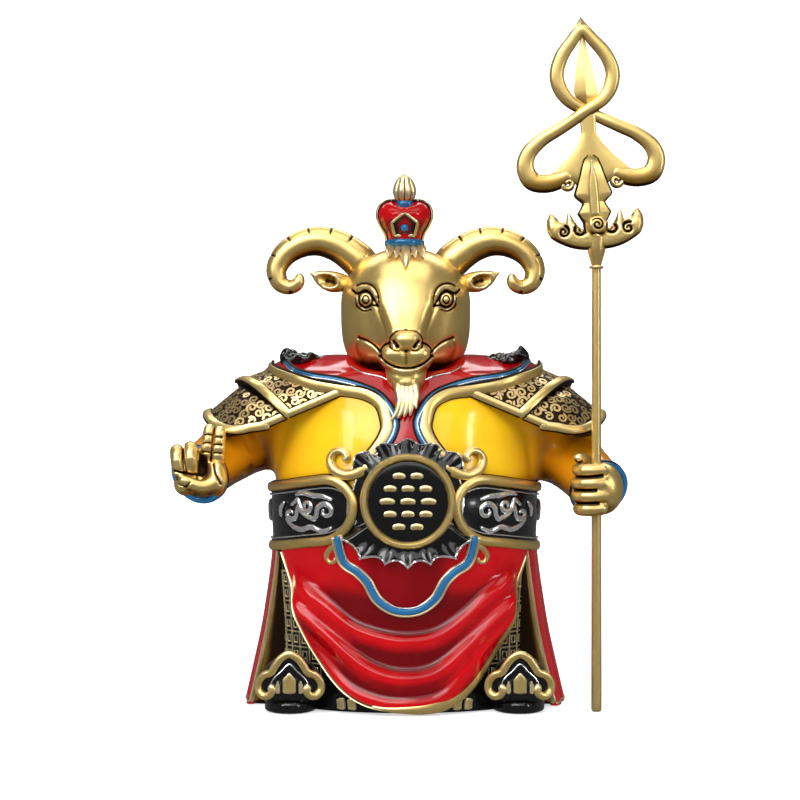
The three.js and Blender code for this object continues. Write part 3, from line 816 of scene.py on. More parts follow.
def mantle_clay(body):
    """The mantle: a thin layer over the shoulders, the middle of the chest and the back."""
    clay = Clay(body.low, body.low + body.step * (body.count - 1), body.step)
    part, (x, y, z) = clay.all()
    chest = np.interp(z, EDGE_Z, EDGE_X)
    edge = mix(chest, np.interp(z, *BACK_EDGE), smoothstep(y, -1, 9))
    aside = (np.abs(x - MIDDLE) - edge) * 0.75
    low = mix(46.0, BELT["top"] - 2.5, smoothstep(y, -2, 2))
    sunk = np.maximum(-body.field[part] - 1.6, low - z)
    clay.field[part] = np.maximum(soft_max(body.field[part] - 0.7, aside, 0.6), sunk)
    for side in SIDES:
        for route in (BAND_OVER, RIBBON_OVER):
            for front in SIDES:
                clay.limb(smooth_line(over_shoulder(side, route, -1.5, front), 24), np.full(24, 2.5), 2.0)
    return clay


def paint_amber_and_shade(mesh):
    """How far the yellow turns amber and brown. The sleeves' amber is their own colour; the amber at the
    chest's sides and upper chest, and the brown under the sleeves and below the armour, are painted shade.
    """
    x, _, z = (numbers(mesh.vertices, "co", 3) / UNIT).T
    facing = numbers(mesh.vertices, "normal", 3)[:, 2]
    aside = np.abs(x - MIDDLE)
    sleeve = smoothstep(aside, 32, 37)
    # Amber: the sleeves' own colour, and painted shade at the chest's sides and upper chest.
    amber = 0.45 * smoothstep(aside, 19, 34) + 0.4 * sleeve
    amber += 0.5 * smoothstep(z, 72, 82) * smoothstep(aside, 10, 24)
    # Painted shade: brown under the sleeves and below the armour.
    painted_shade = sleeve * smoothstep(-facing, -0.35, 0.75)
    painted_shade += 0.6 * smoothstep(z, 70, 78) * smoothstep(aside, 28, 40)
    store(mesh, "amber", np.clip(amber, 0, 1))
    store(mesh, "painted_shade", np.clip(painted_shade, 0, 1))


def trim(points, wide, thick, face, closed=False, power=2.6):
    return sweep(points, wide, thick, face=face, sides=12, closed=closed, power=power)


def seam(points, wide, face, closed=False, sunk=0.25):
    """The dark line left along both sides of a border of a given half width."""
    line = sweep(points - sunk * face, wide + 0.42, 0.5, face=face, sides=8, closed=closed, power=4)
    return line.stained(0.8)


def mantle_trims():
    """The gold band along the mantle's edge and the blue ribbon inside it, with its silver lines; the line
    along each ribbon's crest is a painted highlight.
    """
    gold, blue, silver, dark = [], [], [], []
    for side in SIDES:
        for seen, route, parts, wide, thick, proud in (
            (BAND, BAND_OVER, gold, 1.5, 0.8, 0.9),
            (RIBBON, RIBBON_OVER, blue, 0.85, 0.65, 1.0),
        ):
            chest = on_front(mirrored(seen, side), proud)
            rising = over_shoulder(side, route, 1.2) + (MIDDLE, 0, 0)
            line = smooth_line(np.vstack([chest, rising]), 110)
            parts.append(trim(line, wide, thick, outward(line)))
            dark.append(seam(line, wide, outward(line)))
            if parts is blue:
                # Painted highlight: a silver line along the crest of the blue ribbon.
                silver.append(trim(line + 0.55 * outward(line), 0.2, 0.25, outward(line)))
        collar = front_line(mirrored(COLLAR, side), 40, 0.8)
        silver.append(trim(collar, 0.22, 0.35, outward(collar)))
        heights = np.array([79.0, 76, 70, 63, 56])
        wide = np.interp(heights, *BACK_EDGE)
        behind = on_body(np.pi - np.arcsin(wide / (girth(heights)[0] + 0.8)), heights, 0.8)
        behind[:, 0] *= side
        line = smooth_line(np.vstack([over_shoulder(side, BAND_OVER, 1.2, -1)[::-1], behind]), 80)
        gold.append(trim(line, 1.3, 0.8, outward(line)))
    piece("mantle_band", "gold", gold)
    piece("mantle_ribbon", "blue enamel", blue)
    piece("mantle_thread", "silver", silver)
    piece("mantle_seams", "dark gold", dark)


def fur():
    """A fat roll of black curly fur on each shoulder, thinner round the nape."""
    route = [
        (33.0, -4, 91.9), (30, -4.4, 91.2), (26, -4.4, 90.5), (22.8, -3.6, 90.2), (20, -1.5, 90.4),
        (16.5, 4, 90.7), (13, 10, 90.8), (7, 15.6, 91), (0, 17.2, 91),
    ]
    thick = ((0, 0.04, 0.1, 0.18, 0.26, 0.34, 0.45, 1), (1.6, 2.3, 1.9, 2.0, 1.3, 0.7, 0.8, 0.8))

    def curls(t, angle):
        broad = 0.2 * np.cos(2 * angle + 26 * t) + 0.13 * np.cos(5 * angle - 46 * t)
        return 1 + broad + 0.1 * np.cos(3 * angle + 90 * t)

    rolls = []
    for side in SIDES:
        line = smooth_line(mirrored(route, side, 0), 300)
        rolls.append(sweep(line, lambda t: np.interp(t, *thick), sides=30, dent=curls))
    piece("fur_collar", "black enamel", rolls)


# Head

FACE_MIDDLE = 0.35
# The skull's half sizes, above and below its middle too, and how squarish it is there.
SKULL = {"wide": 17.1, "deep": 15.5, "above": 15.2, "below": 18.6, "square": 2.1, "square_below": 3.4}
EYE_LINES = (
    (
        [(14.3, 108.7), (13, 107.7), (11.9, 108), (10.8, 108.3), (9.4, 107.4), (8.5, 105.8), (7.5, 104.3)],
        0.34, 0.7, 1.0,
    ),
    ([(13.2, 109.7), (12.0, 110.2), (10.4, 110.2), (8.8, 109.4), (7.8, 107.9), (7.3, 105.1)], 0.3, 0.5, 0.5),
    ([(12.6, 107.4), (12.3, 105.1), (10.8, 104.1), (9.3, 104.5), (7.7, 104.3)], 0.28, 0.5, 0.9),
    ([(13.5, 106.4), (12.9, 104.2), (11.2, 103.1), (9.4, 103.4)], 0.2, 0.3, 0.5),
)


def face_both(clay, seen, wide, deep, ink_and_shade=1.0):
    for side in SIDES:
        clay.engrave(smooth_line(mirrored(seen, side, FACE_MIDDLE), 24), wide, deep, behind=-9, ink_and_shade=ink_and_shade)


def head_clay(step):
    """A goat's head: a round skull, heavy cheeks and a straight face that narrows to the nose."""
    clay = Clay((-18.5, -32, 79), (19.1, HEAD[1] + 17, 122), step)
    part, (x, y, z) = clay.all()
    above = z > HEAD[2]
    up = (z - HEAD[2]) / np.where(above, SKULL["above"], SKULL["below"])
    power = np.where(above, SKULL["square"], SKULL["square_below"])
    level = np.sqrt(((x - HEAD[0]) / SKULL["wide"]) ** 2 + ((y - HEAD[1]) / SKULL["deep"]) ** 2)
    clay.field[part] = ((level**power + np.abs(up) ** power) ** (1 / power) - 1) * 15.0
    half = np.interp(z, (84, 93, 105, 114), (4.4, 4.6, 6.2, 5.0))
    ahead = np.interp(z, (84, 92, 97, 106, 114), (-22, -26.2, -25.8, -20.2, -14.4))
    face = soft_max(np.abs(x - FACE_MIDDLE) - half, np.maximum(ahead - y, y), 4.5)
    face = soft_max(face, np.maximum(91 - z, z - 113), 4)
    clay.merge(part, face, 5.0)
    muzzle(clay)
    for side in SIDES:
        eye(clay, side)
    lines = (
        ([(7.4, 103.5), (6.3, 100.5), (5.3, 97.4), (5.0, 94.6)], 0.9, 0.4, 0.1),
        ([(12.5, 96.2), (10.2, 95.3), (8.2, 93.9), (6.9, 92.4)], 0.34, 0.6, 0.8),
        ([(12.5, 96.2), (13.0, 93.4), (11.8, 90.6), (10.4, 88.0)], 0.9, 0.3, 0.1),
        ([(4.4, 94.6), (5.7, 94.2), (6.7, 92.9), (6.5, 91.2)], 0.32, 0.5, 0.8),
    )
    for seen, wide, deep, ink_and_shade in lines:
        face_both(clay, seen, wide, deep, ink_and_shade)
    return clay


def shaded_jowls(form):
    """Paints shade on the cheeks where they sink into the mantle, by darkening them."""
    x, _, z = form.points.T
    low = 0.45 * smoothstep(92 - z, 0, 4.5) * smoothstep(np.abs(x - FACE_MIDDLE), 5.5, 7.5)
    form.ink_and_shade = np.maximum(form.ink_and_shade, low)
    return form


def muzzle(clay):
    x = FACE_MIDDLE
    clay.ball((x + 0.2, -26.8, 95.2), (4.2, 3.0, 2.8), 0.8)
    for side in SIDES:
        clay.ball((x + 3.1 * side, -24.6, 91.6), (4.0, 4.1, 3.1), 0.8)
        nostril = mirrored([(3.5, 95.0), (2.9, 94.4), (2.4, 93.6)], side, x)
        clay.engrave(nostril, 0.42, 1.2)
        nose = [(4.5, 93.6), (4.4, 95.8), (3.1, 97.3), (0.4, 97.8)]
        clay.engrave(smooth_line(mirrored(nose, side, x), 16), 0.26, 0.35, ink_and_shade=0.5)
        lip = [(4.4, 93.4), (3.2, 92.6), (2.0, 92.5)]
        clay.engrave(smooth_line(mirrored(lip, side, x), 14), 0.24, 0.4, ink_and_shade=0.5)
    funnel = [(x, -21.6, 89.4), (x, -22.6, 86.8), (x + 0.1, -24.0, 84.4), (x + 0.3, -25.6, 81.0)]
    clay.limb(funnel, (6.3, 5.2, 3.7, 2.4), 2.2)
    clay.engrave([(x, 92.2), (x, 89.2)], 0.8, 0.35, ink_and_shade=0.1)
    smile = [(-6.4, 91.4), (-4.4, 89.5), (-2.3, 88.5), (x, 88.1), (3, 88.5), (5.1, 89.5), (7.1, 91.4)]
    clay.engrave(smooth_line(smile, 30), 0.28, 0.8)
    chin = [(-4.9, 88.0), (-2.4, 86.6), (x, 86.2), (3.2, 86.7), (5.5, 88.0)]
    clay.engrave(smooth_line(chin, 20), 0.8, 0.3, ink_and_shade=0.1)


def eye(clay, side):
    """An almond eye between two lids, with a brow arched over it and two rings for the iris."""
    middle = FACE_MIDDLE + 10.4 * side
    clay.ball((middle, -14.2, 106.0), (3.5, 4.4, 2.7), 0.8)
    ridge = [(13.4, 108.9), (11.6, 109.3), (9.6, 108.9), (8.2, 107.2)]
    clay.engrave(smooth_line(mirrored(ridge, side, FACE_MIDDLE), 24), 0.6, -0.45, behind=-9)
    for seen, wide, deep, ink_and_shade in EYE_LINES:
        clay.engrave(smooth_line(mirrored(seen, side, FACE_MIDDLE), 30), wide, deep, behind=-9, ink_and_shade=ink_and_shade)
    turn = np.linspace(0, 2 * np.pi, 28)
    for radius, wide, deep in ((1.75, 0.24, 0.45), (0.85, 0.17, 0.35)):
        ring = np.stack([middle + radius * np.cos(turn), 106.0 + 1.2 * radius * np.sin(turn)], axis=-1)
        clay.engrave(ring, wide, deep, behind=-9)


def horn(side):
    """A smooth horn that curls out, down and back in, with short notches along its outer edge and painted
    shade along its underside.
    """
    points = [
        (9.0, -2, 113.4), (13.6, -2, 118), (18, -2, 120.9), (23, -2.3, 122.2), (27.9, -2.8, 121.3),
        (32.2, -3.4, 118.4), (34.2, -4, 114.4), (33.2, -4.6, 111), (30.7, -5.1, 109.8),
        (28.6, -5.6, 110.7), (27.7, -6, 113.4),
    ]
    line = smooth_line([(HEAD[0] + x * side, y, z) for x, y, z in points], 190)

    def notches(t, angle):
        outer = smoothstep(side * np.cos(angle), 0.35, 0.85) * smoothstep(np.sin(angle), -0.3, 0.2)
        steps = t * 9 - np.round(t * 9)
        return bell(steps / 0.05) * outer * smoothstep(t, 0.16, 0.24) * smoothstep(0.97 - t, 0, 0.05)

    # Ink in the notches, and painted shade on the underside.
    def under(t, angle):
        return 0.8 * notches(t, angle) + 0.14 * smoothstep(-side * np.cos(angle), 0.0, 0.8)

    def thick(t):
        return 4.6 * (1 - t) ** 0.52 + 0.4 + 0.25 * bell((t - 0.95) / 0.04)

    return sweep(line, thick, sides=36, dent=lambda t, angle: 1 - 0.09 * notches(t, angle), stain_and_shade=under)


def ear(side):
    """A stout stalk that opens into a pointed leaf, hollow in front."""
    near, far = sorted((9 * side, 27 * side))
    clay = Clay((near, -13, 104), (far, -1, 118), 0.33)
    stalk = mirrored([(12, -4, 110.4), (16, -5.4, 110.9), (20, -6.8, 111.4), (24.8, -7.8, 113.5)], side, 0)
    clay.limb(smooth_line(stalk, 12), (2.6, 2.4, 2.2, 2.2, 2.4, 2.7, 2.8, 2.6, 2.2, 1.6, 0.9, 0.35), 0.8)
    inside = mirrored([(18.6, -8.8, 111.0), (21.4, -9.9, 111.6), (23.6, -9.7, 112.9)], side, 0)
    clay.limb(smooth_line(inside, 8), (0.9, 1.6, 2.0, 2.1, 1.9, 1.5, 1.0, 0.4), 0.4, cut=True)
    fold = mirrored([(18.6, 110.9), (20.4, 111.3)], side, 0)
    clay.engrave(fold, 0.9, 0.3, behind=-6, ink_and_shade=0.45)
    return clay.skin()


def lock(points, wide, waves=0, thick=0.7):
    """A pale, tapering lock of hair with dark grooves along it."""
    line = smooth_line(points, 26)

    def strands(t, angle):
        return np.cos(3 * angle + waves * t) * np.sin(np.pi * np.clip(t * 1.1, 0, 1))

    def size(t):
        return 0.12 + wide * np.sin(np.pi * mix(0.32, 0.98, t))

    return sweep(
        line, size, lambda t: 0.12 + thick * wide * (1 - t) ** 0.6, sides=20,
        dent=lambda t, angle: 1 + 0.12 * strands(t, angle),
        stain_and_shade=lambda t, angle: 0.75 * smoothstep(-strands(t, angle), 0.35, 1) - 0.15 * (np.sin(angle) > -0.3),
    )


def beard():
    """Broad pale strands under the chin, combed to a blunt end that sweeps to the figure's right."""
    x = FACE_MIDDLE + 0.2
    ends = ((-1.6, -4.0, 74.9), (-0.8, -2.4, 75.3), (0.0, -0.8, 75.6), (0.8, 0.8, 76.0), (1.6, 2.4, 77.8))
    strands = []
    for k, (start, tip, low) in enumerate(ends):
        route = [
            (x + 1.15 * start, -24.4, 85.4),
            (x + 1.25 * start, -27.0, 82.8),
            (x + 1.15 * start + 0.2, -28.3, 80.2),
            (x + mix(1.05 * start + 0.3, tip, 0.4), -29.0, mix(80.2, low, 0.6)),
            (x + tip, -29.3, low),
        ]
        strands.append(lock(route, 1.3, waves=2 + k))
    return strands


def forelock():
    """Pale tufts that fall over the forehead from under the crown."""
    tips = ((-4.6, 117.3, 1.5), (-2.5, 117.0, 1.3), (0.0, 114.5, 1.9), (2.5, 117.0, 1.3), (4.7, 117.0, 1.5))
    locks = []
    for x, z, wide in tips:
        points = []
        for share in (0.0, 0.35, 0.7, 1.0):
            px, pz = mix(0.75 * x, x, share), mix(120.4, z, share)
            up = np.abs((pz - HEAD[2]) / SKULL["above"])
            level = np.clip(1 - up ** SKULL["square"], 0, 1) ** (1 / SKULL["square"])
            out = np.sqrt(np.clip(level**2 - (px / SKULL["wide"]) ** 2, 0, 1))
            points.append((HEAD[0] + px, HEAD[1] - SKULL["deep"] * out - mix(0.6, 1.3, share), pz))
        locks.append(lock(points, wide, waves=3, thick=0.6))
    return locks


# Radius and height on the bulb, and angle and height on the small house before it and behind.
BULB = [(4.7, 121.8), (5.2, 123.8), (6.5, 126), (7.45, 128.6), (6.9, 131), (5, 132.6), (2.4, 132.7)]
HOUSE = [(-0.5, 123.2), (0.5, 123.2), (0.5, 126.5), (0, 129.0), (-0.5, 126.5)]
HOUSE_MIDDLE = 125.2
FLAME = [(2.3, 132.5), (2.7, 133.3), (3.15, 135), (2.9, 136.7), (2, 138.4), (0.9, 139.5), (0.2, 140)]
BEAD = [(0, -1.0), (0.8, -0.7), (1.05, 0), (0.8, 0.7), (0, 1.0)]


def crown():
    """A bulb in red panels between pale ribs, ringed below and above, with a fluted flame on top."""
    centre = np.array([0.0, -4.5, 0.0])
    outline = smooth_line(BULB, 30)

    def sagging(points):
        """The bulb's top lies lower in front and behind than at its sides."""
        apart = points - centre
        facing = apart[:, 1] ** 2 / np.maximum(apart[:, 0] ** 2 + apart[:, 1] ** 2, 0.01)
        return points - np.outer(2.1 * facing * smoothstep(points[:, 2], 128.4, 131.6), UP)

    bulb = turned(capped(outline), centre, 72)
    piece("crown_bulb", "red enamel", bulb.moved(sagging))
    rims, beads, dark = [], [], []
    for turn, wide in ((-74, 0.8), (74, 0.8), (-135, 0.6), (135, 0.6)):
        angle = math.radians(turn)
        out = np.array([math.sin(angle), -math.cos(angle), 0])
        line = np.array([centre + r * out + (0, 0, z) for r, z in outline])
        rims.append(sweep(line, wide, 0.45, face=out, sides=12))
        dark.append(sweep(line - 0.1 * out, wide + 0.25, 0.4, face=out, sides=8))
    for middle in (0.0, np.pi):
        for size, wide, parts in ((1.0, 0.5, rims), (1.0, 0.75, dark), (0.68, 0.2, dark)):
            corners = []
            for turn, z in HOUSE:
                angle = middle + size * turn
                z = mix(HOUSE_MIDDLE, z, size)
                r = np.interp(z, outline[:22, 1], outline[:22, 0]) + 0.1
                corners.append(centre + (r * math.sin(angle), -r * math.cos(angle), z))
            line = even_ring(corners, 60)
            thick = 0.45 if parts is rims else 0.3
            frame_line = sweep(line, wide, thick, face=outward(line - centre), sides=8, closed=True)
            parts.append(frame_line.moved(sagging))
        spot = centre + (6.2 * math.sin(middle), -6.2 * math.cos(middle), 125.1)
        beads.append(turned(smooth_line(BEAD, 12), spot, 18))
    piece("crown_ribs", "gold", rims)
    piece("crown_seams", "black enamel", dark)
    lower = smooth_line([(4.2, 120.4), (5.0, 120.6), (5.3, 121.5), (5.0, 122.3), (4.2, 122.5)], 16)
    upper = smooth_line([(2.0, 130.4), (2.5, 130.7), (2.7, 131.6), (2.5, 132.5), (2.0, 132.7)], 14)
    rings = [turned(capped(ring), centre, 56) for ring in (lower, upper)]
    piece("crown_rings", "blue enamel", beads, rings)
    base = turned([(0, 116), (4.4, 116), (4.4, 121), (0, 121)], centre, 48)

    def flutes(angle, z):
        groove = np.abs(np.sin(4.5 * angle)) ** 0.5
        return 1 - 0.2 * (1 - groove) * smoothstep(140 - z, 0.5, 3)

    tip = turned(capped(smooth_line(FLAME, 40)), centre, 108, swell=flutes)
    around = np.arctan2(tip.points[:, 0] - centre[0], centre[1] - tip.points[:, 1])
    dark = np.abs(np.cos(4.5 * around + QUARTER)) ** 0.5
    foot = smoothstep(133.6 - tip.points[:, 2], 0, 1.2)
    tip.ink_and_shade = 0.9 * (1 - dark) ** 2 + 0.4 * foot - 0.25 * (1 - foot)
    piece("crown_flame", "gold", base, tip)


# Geometry Nodes for what repeats over a surface

def node_group(name, inputs):
    """An empty node tree with a geometry socket at each end, and named inputs."""
    tree = bpy.data.node_groups.new(name, "GeometryNodeTree")
    tree.interface.new_socket("Geometry", in_out="INPUT", socket_type="NodeSocketGeometry")
    tree.interface.new_socket("Geometry", in_out="OUTPUT", socket_type="NodeSocketGeometry")
    for label, kind in inputs.items():
        tree.interface.new_socket(label, in_out="INPUT", socket_type=kind)
    return tree, tree.nodes.new("NodeGroupInput"), tree.nodes.new("NodeGroupOutput")


def chain(tree, *sockets):
    """Links sockets, given as pairs of where from and where to."""
    for a, b in zip(sockets[::2], sockets[1::2]):
        tree.links.new(a, b)


def finished_tree(tree, given, result, last):
    """Ends a tree in real geometry in one material."""
    real = tree.nodes.new("GeometryNodeRealizeInstances")
    paint = tree.nodes.new("GeometryNodeSetMaterial")
    chain(
        tree,
        last, real.inputs[0],
        real.outputs[0], paint.inputs["Geometry"],
        given.outputs["Material"], paint.inputs["Material"],
        paint.outputs[0], result.inputs[0],
    )
    return tree


def scatter_tree():
    """Scatters copies of an object over faces, each standing on the surface with its own turn."""
    tree, given, result = node_group("scatter", {
        "Ornament": "NodeSocketObject",
        "Spacing": "NodeSocketFloat",
        "Smallest": "NodeSocketFloat",
        "Seed": "NodeSocketInt",
        "Material": "NodeSocketMaterial",
    })
    points = tree.nodes.new("GeometryNodeDistributePointsOnFaces")
    points.distribute_method = "POISSON"
    points.inputs["Density Max"].default_value = 4e6
    source = tree.nodes.new("GeometryNodeObjectInfo")
    place = tree.nodes.new("GeometryNodeInstanceOnPoints")
    size = tree.nodes.new("FunctionNodeRandomValue")
    turn = tree.nodes.new("FunctionNodeRandomValue")
    turn.inputs["Max"].default_value = 2 * math.pi
    spin = tree.nodes.new("ShaderNodeCombineXYZ")
    rotate = tree.nodes.new("FunctionNodeRotateRotation")
    rotate.rotation_space = "LOCAL"
    euler = tree.nodes.new("FunctionNodeEulerToRotation")
    size.inputs["Max"].default_value = 1.0
    chain(
        tree,
        given.outputs["Geometry"], points.inputs["Mesh"],
        given.outputs["Spacing"], points.inputs["Distance Min"],
        given.outputs["Seed"], points.inputs["Seed"],
        points.outputs["Points"], place.inputs["Points"],
        given.outputs["Ornament"], source.inputs["Object"],
        source.outputs["Geometry"], place.inputs["Instance"],
        given.outputs["Smallest"], size.inputs["Min"],
        size.outputs["Value"], place.inputs["Scale"],
        turn.outputs["Value"], spin.inputs["Z"],
        spin.outputs[0], euler.inputs[0],
        points.outputs["Rotation"], rotate.inputs["Rotation"],
        euler.outputs[0], rotate.inputs["Rotate By"],
        rotate.outputs[0], place.inputs["Rotation"],
    )
    return finished_tree(tree, given, result, place.outputs[0])


def lattice_tree():
    """Raises a round wire along each edge of a net of squares, and a smaller square inside each."""
    tree, given, result = node_group("lattice", {
        "Wire": "NodeSocketFloat",
        "Inner Share": "NodeSocketFloat",
        "Material": "NodeSocketMaterial",
    })
    both = tree.nodes.new("GeometryNodeJoinGeometry")
    apart = tree.nodes.new("GeometryNodeSplitEdges")
    smaller = tree.nodes.new("GeometryNodeScaleElements")
    round_wire = tree.nodes.new("GeometryNodeCurvePrimitiveCircle")
    round_wire.inputs["Resolution"].default_value = 6
    chain(
        tree,
        given.outputs["Geometry"], apart.inputs[0],
        apart.outputs[0], smaller.inputs["Geometry"],
        given.outputs["Inner Share"], smaller.inputs["Scale"],
        given.outputs["Wire"], round_wire.inputs["Radius"],
    )
    for net in (given.outputs["Geometry"], smaller.outputs[0]):
        wire = tree.nodes.new("GeometryNodeMeshToCurve")
        skin = tree.nodes.new("GeometryNodeCurveToMesh")
        skin.inputs["Fill Caps"].default_value = True
        chain(
            tree,
            net, wire.inputs["Mesh"],
            wire.outputs[0], skin.inputs["Curve"],
            round_wire.outputs[0], skin.inputs["Profile Curve"],
            skin.outputs[0], both.inputs[0],
        )
    return finished_tree(tree, given, result, both.outputs[0])


def made_by(tree, name, base, finish, values):
    """A plain mesh piece from what a node tree makes of a base mesh."""
    carrier = bpy.data.objects.new(name + "_carrier", base)
    bpy.context.scene.collection.objects.link(carrier)
    nodes = carrier.modifiers.new("nodes", "NODES")
    nodes.node_group = tree
    inputs = [item for item in tree.interface.items_tree if item.in_out == "INPUT"]
    sockets = {item.name: item.identifier for item in inputs}
    for label, value in {**values, "Material": bpy.data.materials[finish]}.items():
        nodes[sockets[label]] = value
    bpy.context.view_layer.update()
    evaluated = carrier.evaluated_get(bpy.context.evaluated_depsgraph_get())
    mesh = bpy.data.meshes.new_from_object(evaluated)
    bpy.data.objects.remove(carrier)
    mesh.name = name
    extra = [a for a in mesh.attributes if not (a.is_internal or a.is_required or a.name == "sharp_face")]
    for layer in extra:
        mesh.attributes.remove(layer)
    mesh.shade_smooth()
    mesh.set_sharp_from_angle(angle=math.radians(50))
    mark_hollows_and_shade(mesh, rounds=1)
    obj = bpy.data.objects.new(name, mesh)
    bpy.context.scene.collection.objects.link(obj)
    return mounted(obj, finish)


def open_net(name, us, vs, place):
    """An open mesh of squares, as a base for a node tree."""
    u, v = np.meshgrid(us, vs, indexing="ij")
    mesh = bpy.data.meshes.new(name)
    mesh.from_pydata((place(u, v) * UNIT).reshape(-1, 3).tolist(), [], quads(*u.shape).tolist())
    return mesh


# Shoulder armour

SHOULDER = {"x": 15.6, "z": 81.3, "along_x": 0.92, "along_z": -0.39, "rise": 13.7, "deep": 20.0}
REACH = 0.98  # share of the half turn that each tier covers


def tier_start(share):
    return np.interp(share, BAND_OVER[0] + (1,), BAND_OVER[1] + (-0.6,)) + 0.3


def upper_end(share):
    return mix(25.6, 15.6, share)


def lower_end(share):
    return 16.9 + 19.6 * np.sqrt(np.clip(1 - share**3, 0, 1))


def on_shoulder(side, along, angle, proud):
    """Angle 0 is the top of a tier, and a quarter turn its lower edge in front and behind."""
    s = SHOULDER
    up = (s["rise"] + proud) * np.cos(angle) - 0.33 * np.maximum(0, along - 25)
    return spots(
        side * (s["x"] + s["along_x"] * along - s["along_z"] * up),
        -(s["deep"] + proud) * np.sin(angle),
        s["z"] + s["along_z"] * along + s["along_x"] * up,
    )


def shoulder_line(side, along, angle, proud):
    return on_shoulder(side, along, angle, proud), unit_rows(
        on_shoulder(side, along, angle, proud + 1) - on_shoulder(side, along, angle, proud)
    )


def curl_form():
    """One cloud curl, flat behind: a squarish bar that winds in to its middle."""
    t = np.linspace(0, 1, 13)[:, None]
    section = np.array([(-0.34, 0.0), (0.34, 0.0), (0.2, 0.55), (-0.2, 0.55)])
    reach = mix(1.6, 0.36, t) + section[:, 0]
    points = spots(reach * np.cos(8.2 * t), reach * np.sin(8.2 * t), section[:, 1] * mix(1, 1.2, t))
    ends = [[0, 1, 2, 3], [51, 50, 49, 48]]
    return Form(points.reshape(-1, 3), np.vstack([quads(13, 4, wrap_columns=True), ends]))


def armour(sizes):
    source = bpy.data.objects.new("curl", to_mesh("curl", curl_form(), 60))
    scatter = scatter_tree()
    angles = np.linspace(-1, 1, 61) * QUARTER * REACH
    tiers = (
        ("upper", tier_start, upper_end, 0.9, 0.0),
        ("lower", lambda share: upper_end(share) - 2.5, lower_end, -0.1, 1.0),
    )
    grounds, borders, dark = [], [], []
    for side in SIDES:
        for label, start, end, proud, tucked in tiers:
            shares = np.abs(angles) / QUARTER

            def along(u, v):
                share = np.abs(v) / QUARTER
                return mix(start(share), np.maximum(end(share), start(share) + 0.3), u)

            def lie(u):
                return proud - 0.5 * tucked * (1 - u)

            def ground(u, v, top):
                return on_shoulder(side, along(u, v), v, lie(u) if top else -3.5)

            grounds.append(plate(np.linspace(0, 1, 15), angles, ground))
            lower_edge = end(shares) - 0.95
            usable = lower_edge > start(shares) + 0.4
            runs = [(lower_edge[usable], angles[usable], 1.15)]
            reach = np.linspace(start(0.96) + 2.2 * tucked, end(0.96) - 0.6, 24)
            if reach[-1] > reach[0] + 1:
                for end_sign in SIDES:
                    runs.append((reach, np.full(24, end_sign * QUARTER * REACH * 0.97), 1.0))
            for reach, turn, wide in runs:
                line, faces = shoulder_line(side, reach, turn, proud + 0.35)
                borders.append(sweep(line, wide, 0.62, face=faces, sides=12, power=3.2))
                dark.append(seam(line, wide - 0.12, faces, sunk=0.2))
            net = open_net(
                label, np.linspace(0.07 + 0.17 * tucked, 0.88, 8), angles[2:-2:2],
                lambda u, v: on_shoulder(side, along(u, v), v, lie(u) + 0.03),
            )
            if side < 0:
                net.flip_normals()
            made_by(scatter, f"{label}_curls_{'right' if side < 0 else 'left'}", net, "old gold", {
                "Ornament": source, "Spacing": sizes.curl_spacing, "Smallest": 0.75, "Seed": 11 + side,
            })
    bpy.data.objects.remove(source)
    piece("armour_tiers", "dark gold", joined(grounds).stained(0.6))
    piece("armour_borders", "gold", borders)
    piece("armour_seams", "dark gold", dark)


# Hands, cuffs and sleeves

